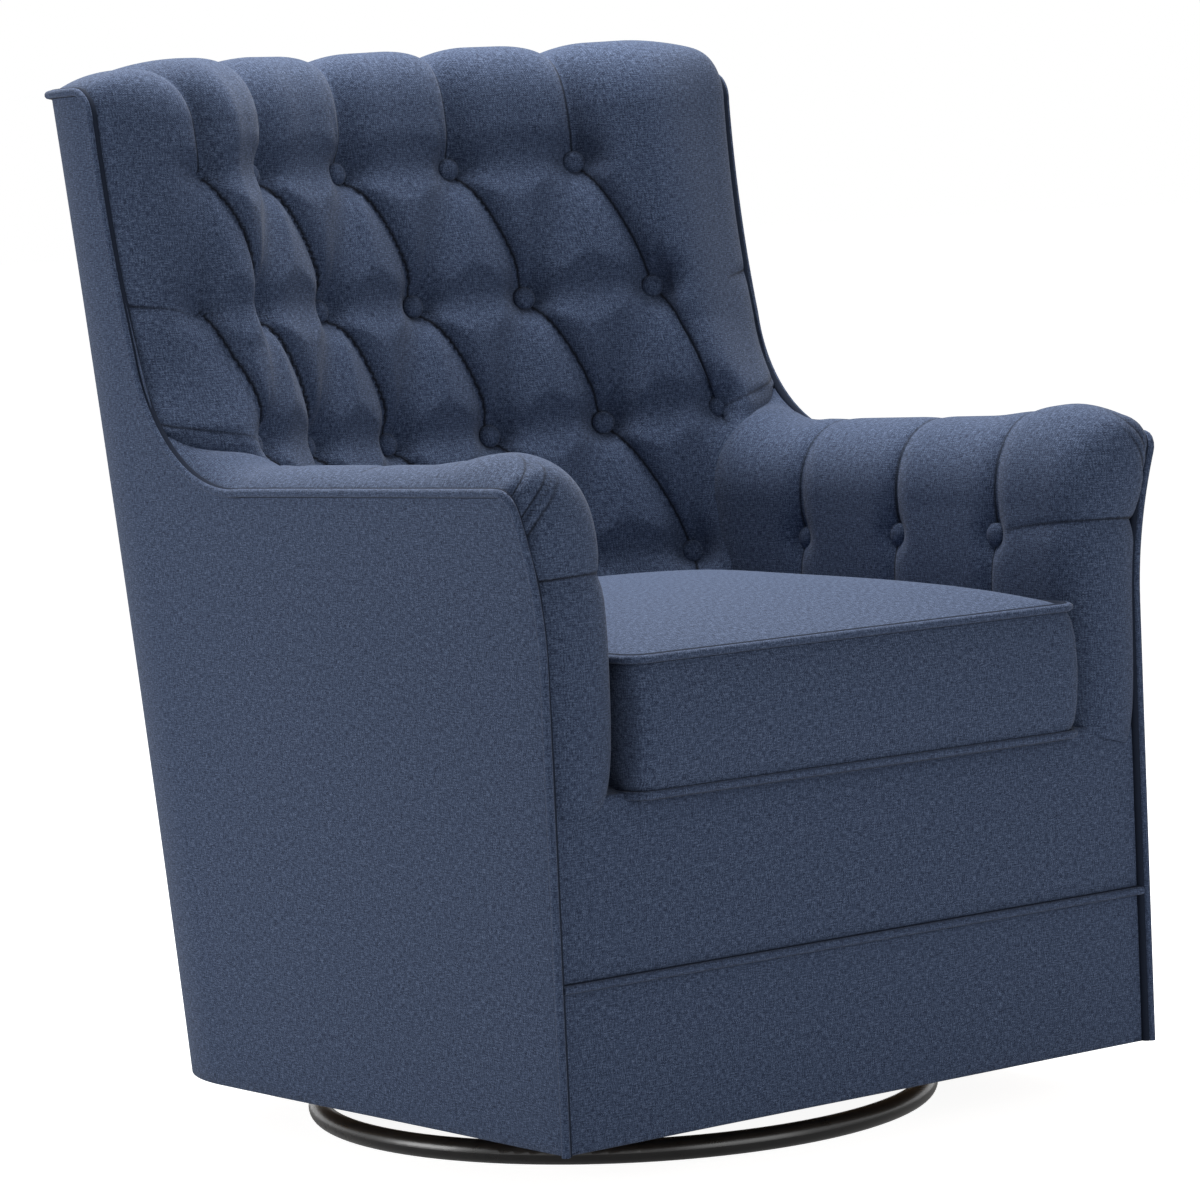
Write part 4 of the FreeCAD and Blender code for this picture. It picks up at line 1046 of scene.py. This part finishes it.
def back_place(x, z):
    """A button's rim on the back, and the way it faces."""
    turn = math.asin(x / INSIDE_RADIUS)
    lean = math.atan(INSIDE_RAKE)
    facing = np.array([-math.sin(turn) * math.cos(lean), -math.cos(turn) * math.cos(lean), math.sin(lean)])
    return np.array([x, float(inside_y(x, z)), z]) - BACK_BUTTON_SINK * facing, facing


back_places = [back_place(x, z) for row in button_rows for x, z in row]
button_piece("back_covered_buttons", back_places, "back_buttons")
arm_places = []
for side in (-1, 1):
    arm_places += [((side * (ARM_INNER + ARM_BUTTON_SINK), y, z), (-side, 0, 0)) for y, z in ARM_BUTTONS]
button_piece("arm_covered_buttons", arm_places, "arm_buttons")
print(len(back_places) + len(arm_places), "covered buttons")

# %% [markdown]
# The seat cushion is boxed: a top and a bottom panel sewn to a strip, with a welt in both seams. It starts
# as stacked outlines that carry the crown, is remeshed into even faces, and is blown up as cloth while its
# seams are held, which swells the panels a little more.

# %% Seat cushion
CUSHION_FRONT = -352.0
CUSHION_HALF = 238.0
CUSHION_CORNER = 16.0
CORNER_CUT = 0.293 * CUSHION_CORNER
BACK_GAP = 7.0
CUSHION_FOOT = 318.0
FOOT_INSET = 5.0
LOW_SEAM = 324.0
TOP_SEAM = 432.0
CROWN_RISE = 32.0
SEAM_INSET = 3.0
BOXING = ((334, -2.0), (352, -6.0), (378, -8.0), (404, -6.0), (422, -2.0))
OUTLINE_POINTS = 220
VOXEL = 0.006
MOST_SWELL = 0.012
SWELL_FRAMES = 20
STUFFING = dict(use_pressure=True, uniform_pressure_force=8.0, tension_stiffness=25,
                compression_stiffness=25, bending_stiffness=1.5)


def cushion_outline(inset, count):
    """Closed outline of the cushion, drawn in by an inset, from the middle of its front."""
    half = CUSHION_HALF - max(inset, -1.0)
    front = CUSHION_FRONT + inset
    corner = arc_through((half - CUSHION_CORNER, front), (half - CORNER_CUT, front + CORNER_CUT),
                         (half, front + CUSHION_CORNER), 12)
    back_x = np.linspace(half, 0, 20)
    back = np.column_stack([back_x, inside_y(back_x, CUSHION_FOOT) - BACK_GAP - inset])
    right = np.vstack([[(0, front)], corner, back])
    whole = evenly(np.vstack([right, right[::-1][1:] * (-1, 1)]), 1.0)
    return whole[np.linspace(0, len(whole) - 1, count + 1).astype(int)][:-1]


def cushion_rings():
    """Outlines and their heights, from the middle of the underside round to the middle of the top."""
    edge = cushion_outline(0.0, OUTLINE_POINTS)
    middle = np.array([0.0, (edge[:, 1].min() + edge[:, 1].max()) / 2])
    rings = [(middle + (edge - middle) * share, CUSHION_FOOT) for share in (0.15, 0.4, 0.7, 0.9)]
    box = ((CUSHION_FOOT, FOOT_INSET), (LOW_SEAM, SEAM_INSET), *BOXING, (TOP_SEAM, SEAM_INSET))
    rings += [(cushion_outline(inset, OUTLINE_POINTS), z) for z, inset in box]
    for share in (0.97, 0.93, 0.87, 0.8, 0.7, 0.55, 0.35, 0.15):
        rings.append((middle + (edge - middle) * share, TOP_SEAM + CROWN_RISE * (1 - share ** 3)))
    return rings


def cushion_mesh(name):
    builder = bmesh.new()
    loops = []
    for outline, z in cushion_rings():
        loops.append([builder.verts.new(point) for point in to_frame(at_height(outline, z))])
    stitch(builder, loops)
    builder.faces.new(loops[0][::-1])
    builder.faces.new(loops[-1])
    return finished_mesh(builder, name)


def reshape(piece, kind, **settings):
    """Writes what one modifier shows into the piece's own mesh."""
    set_all(piece.modifiers.new(kind, kind), **settings)
    evaluated = piece.evaluated_get(bpy.context.evaluated_depsgraph_get())
    mesh = bpy.data.meshes.new_from_object(evaluated)
    piece.modifiers.clear()
    piece.data = mesh


def blow_up(piece, held, most):
    """Cloth under pressure, with the held vertices pinned and every move capped."""
    before = np.array([v.co for v in piece.data.vertices])
    group = piece.vertex_groups.new(name="seams")
    group.add([int(i) for i in np.flatnonzero(held(before))], 1.0, "REPLACE")
    cloth = piece.modifiers.new("cloth", "CLOTH")
    set_all(cloth.settings, **STUFFING, vertex_group_mass="seams")
    cloth.settings.effector_weights.gravity = 0.0
    for number in range(1, SWELL_FRAMES + 1):
        bpy.context.scene.frame_set(number)
    evaluated = piece.evaluated_get(bpy.context.evaluated_depsgraph_get())
    after = np.array([v.co for v in evaluated.data.vertices])
    bpy.context.scene.frame_set(1)
    piece.modifiers.clear()
    move = after - before
    length = np.linalg.norm(move, axis=1, keepdims=True)
    move *= np.minimum(1, most / np.maximum(length, 1e-9))
    piece.data.vertices.foreach_set("co", (before + move).ravel())
    piece.data.update()
    return float(length.max())


def seam_band(points):
    """True for the points at a seam or on the underside."""
    z = points[:, 2] * 1000
    return (np.abs(z - TOP_SEAM) < 4) | (np.abs(z - LOW_SEAM) < 4) | (z < CUSHION_FOOT + 2)


cushion = add_object("seat_cushion_cloth", cushion_mesh("seat_cushion_cloth"))
reshape(cushion, "REMESH", mode="VOXEL", voxel_size=VOXEL)
swell = 0.0
swell = blow_up(cushion, seam_band, MOST_SWELL)
reshape(cushion, "SUBSURF", levels=1, render_levels=1)
cushion.data.shade_smooth()
clothe(cushion, "seat_cushion")
print("cushion of", len(cushion.data.vertices), "points, swell", round(swell * 1000, 1), "mm")

# %% [markdown]
# A welt is a cord covered with the same cloth and sewn into a seam. Each is a smooth curve with a round
# bevel, following the same lines as the panels that it closes. The stitched seam lies in the shade of the
# cord, and that shade is painted: a dark, slightly thicker strip sits in the panels behind each cord and
# shows as painted shade on both sides of it.

# %% Welts
WELT_RADIUS = 3.5
WELT_STAND = WELT_RADIUS * 0.75
SEAM_SHADE_RADIUS = WELT_RADIUS * 1.22
SEAM_SHADE_STAND = -0.5
TUB_MIDDLE = (0.0, 100.0)
# Painted shade: a dark strip standing for the shade beside each welt cord.
painted_seam_shade = new_material("painted_seam_shade", Base_Color=(0.012, 0.017, 0.031, 1.0), Roughness=0.9,
                          Specular_IOR_Level=0.1)[0]


def cord(name, lines, radius, cloth, node=None, closed=False):
    """A round strip along each of the lines."""
    curve = bpy.data.curves.new(name, "CURVE")
    set_all(curve, dimensions="3D", bevel_depth=radius * 0.001, bevel_resolution=3, use_fill_caps=True)
    for line in lines:
        points = to_frame(line)
        spline = curve.splines.new("POLY")
        spline.points.add(len(points) - 1)
        spline.points.foreach_set("co", np.column_stack([points, np.ones(len(points))]).ravel())
        set_all(spline, use_cyclic_u=closed, use_smooth=True)
    clothe(add_object(name, curve), node, cloth)


def side_welt_line(stand):
    """Up the front corner, along the arm, up the wing, over the ear and to the middle of the back."""
    heights = np.linspace(SKIRT_Z, ROLL_START - 4, 60)
    corner = [(front_half(z) + stand, FRONT_Y - stand, z) for z in heights]
    turned = FRONT_Y + CORNER_TURN
    arm = [(side_x(y, z) + stand, y - stand * (y < turned), z) for y, z in arm_welt_path()[::-4]]
    rise = evenly(rise_line[rise_line[:, 1] > WING_FOOT], 4.0)
    wing = [(side_x(y, z) + stand, y, z) for y, z in rise if y < SIDE_END - 2.0]
    rear = rear_columns([1.0], 30, 40)[0]
    away = rear[:, :2] - TUB_MIDDLE
    rear[:, :2] += stand * away / np.linalg.norm(away, axis=1, keepdims=True)
    return np.vstack([corner, arm, wing, rear[1:]])


def border_line(stand):
    across = np.linspace(-1, 1, 80) * (front_half(BORDER_TOP) - 2)
    return np.column_stack([across, np.full(80, FRONT_Y - stand), np.full(80, BORDER_TOP)])


def rim_line(inset, z):
    return at_height(cushion_outline(inset, 260), z)


for side, mirror in (("right", 1.0), ("left", -1.0)):
    flip = np.array([mirror, 1.0, 1.0])
    line = side_welt_line(WELT_STAND) * flip
    cord(side + "_welt_cord", [line], WELT_RADIUS, cover_cloth, side + "_side_welt")
    cord(side + "_welt_shade", [side_welt_line(SEAM_SHADE_STAND) * flip], SEAM_SHADE_RADIUS, painted_seam_shade)
cord("front_border_cord", [border_line(WELT_STAND)], WELT_RADIUS, cover_cloth, "border_welt")
cord("front_border_shade", [border_line(SEAM_SHADE_STAND)], SEAM_SHADE_RADIUS, painted_seam_shade)
seams = (LOW_SEAM, TOP_SEAM)
cord("cushion_welt_cords", [rim_line(0.0, z) for z in seams], WELT_RADIUS, cover_cloth, "cushion_welts", True)
cord("cushion_welt_shades", [rim_line(SEAM_INSET, z) for z in seams], SEAM_SHADE_RADIUS, painted_seam_shade, closed=True)
print("welts", len(line), "points each side")

# %% [markdown]
# The chair stands on a wide, plain floor under large soft lamps. The camera sees the floor and the world
# as white, while the floor still takes the shadow. Glossy reflections see the white world too.

# %% Floor, light and world
FLOOR_REACH = 60.0
LAMP_AIM = Vector((0, 0, 0.45))
WORLD_LIGHT = 0.25


def pale_floor():
    """Pale paper; the camera also sees it lit from within, which lifts it to white but keeps the shadow."""
    material, shader, graph = new_material("pale_floor", Base_Color=(0.45, 0.45, 0.45, 1.0), Roughness=0.9,
                                           Specular_IOR_Level=0.0, Emission_Strength=0.92)
    seen = graph.node("LightPath", output="Is Camera Ray")
    feed(shader, "Emission Color", seen.blend((0.2, 0.2, 0.2, 1.0), (1.0, 1.0, 1.0, 1.0)))
    return material


builder = bmesh.new()
bmesh.ops.create_grid(builder, x_segments=2, y_segments=2, size=FLOOR_REACH)
floor = add_object("floor", finished_mesh(builder, "floor"))
floor.data.materials.append(pale_floor())
floor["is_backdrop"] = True

world = bpy.data.worlds.new("studio")
bpy.context.scene.world = world
world.use_nodes = True
sky = Socket(world.node_tree)
rays = [sky.node("LightPath", output=kind) for kind in ("Is Camera Ray", "Is Glossy Ray")]
background = world.node_tree.nodes["Background"]
background.inputs["Color"].default_value = (1.0, 1.0, 1.0, 1.0)
feed(background, "Strength", WORLD_LIGHT + (1 - WORLD_LIGHT) * sky.math("MAXIMUM", *rays))


def soft_lamp(name, place, size, watts):
    """A square lamp that faces the middle of the chair."""
    lamp = bpy.data.lights.new(name, "AREA")
    set_all(lamp, size=size, energy=watts)
    piece = add_object(name, lamp)
    piece.location = place
    piece.rotation_euler = (LAMP_AIM - Vector(place)).to_track_quat("-Z", "Y").to_euler()


soft_lamp("overhead_lamp", (0.25, 0.6, 2.8), 1.6, 145)
soft_lamp("left_lamp", (-2.6, 0.9, 0.55), 1.2, 32)
soft_lamp("front_lamp", (0.2, -3.2, 0.9), 2.4, 34)
bpy.context.scene.view_settings.view_transform = "Standard"
print("floor, world and three lamps")

# %% [markdown]
# Last, the box round the dressed chair is written beside that of the solid model.

# %% Sizes and finish
made_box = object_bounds()
for name, corners in (("solid model", cad_box), ("dressed model", made_box)):
    print(name, [[round(x, 4) for x in corner] for corner in corners])
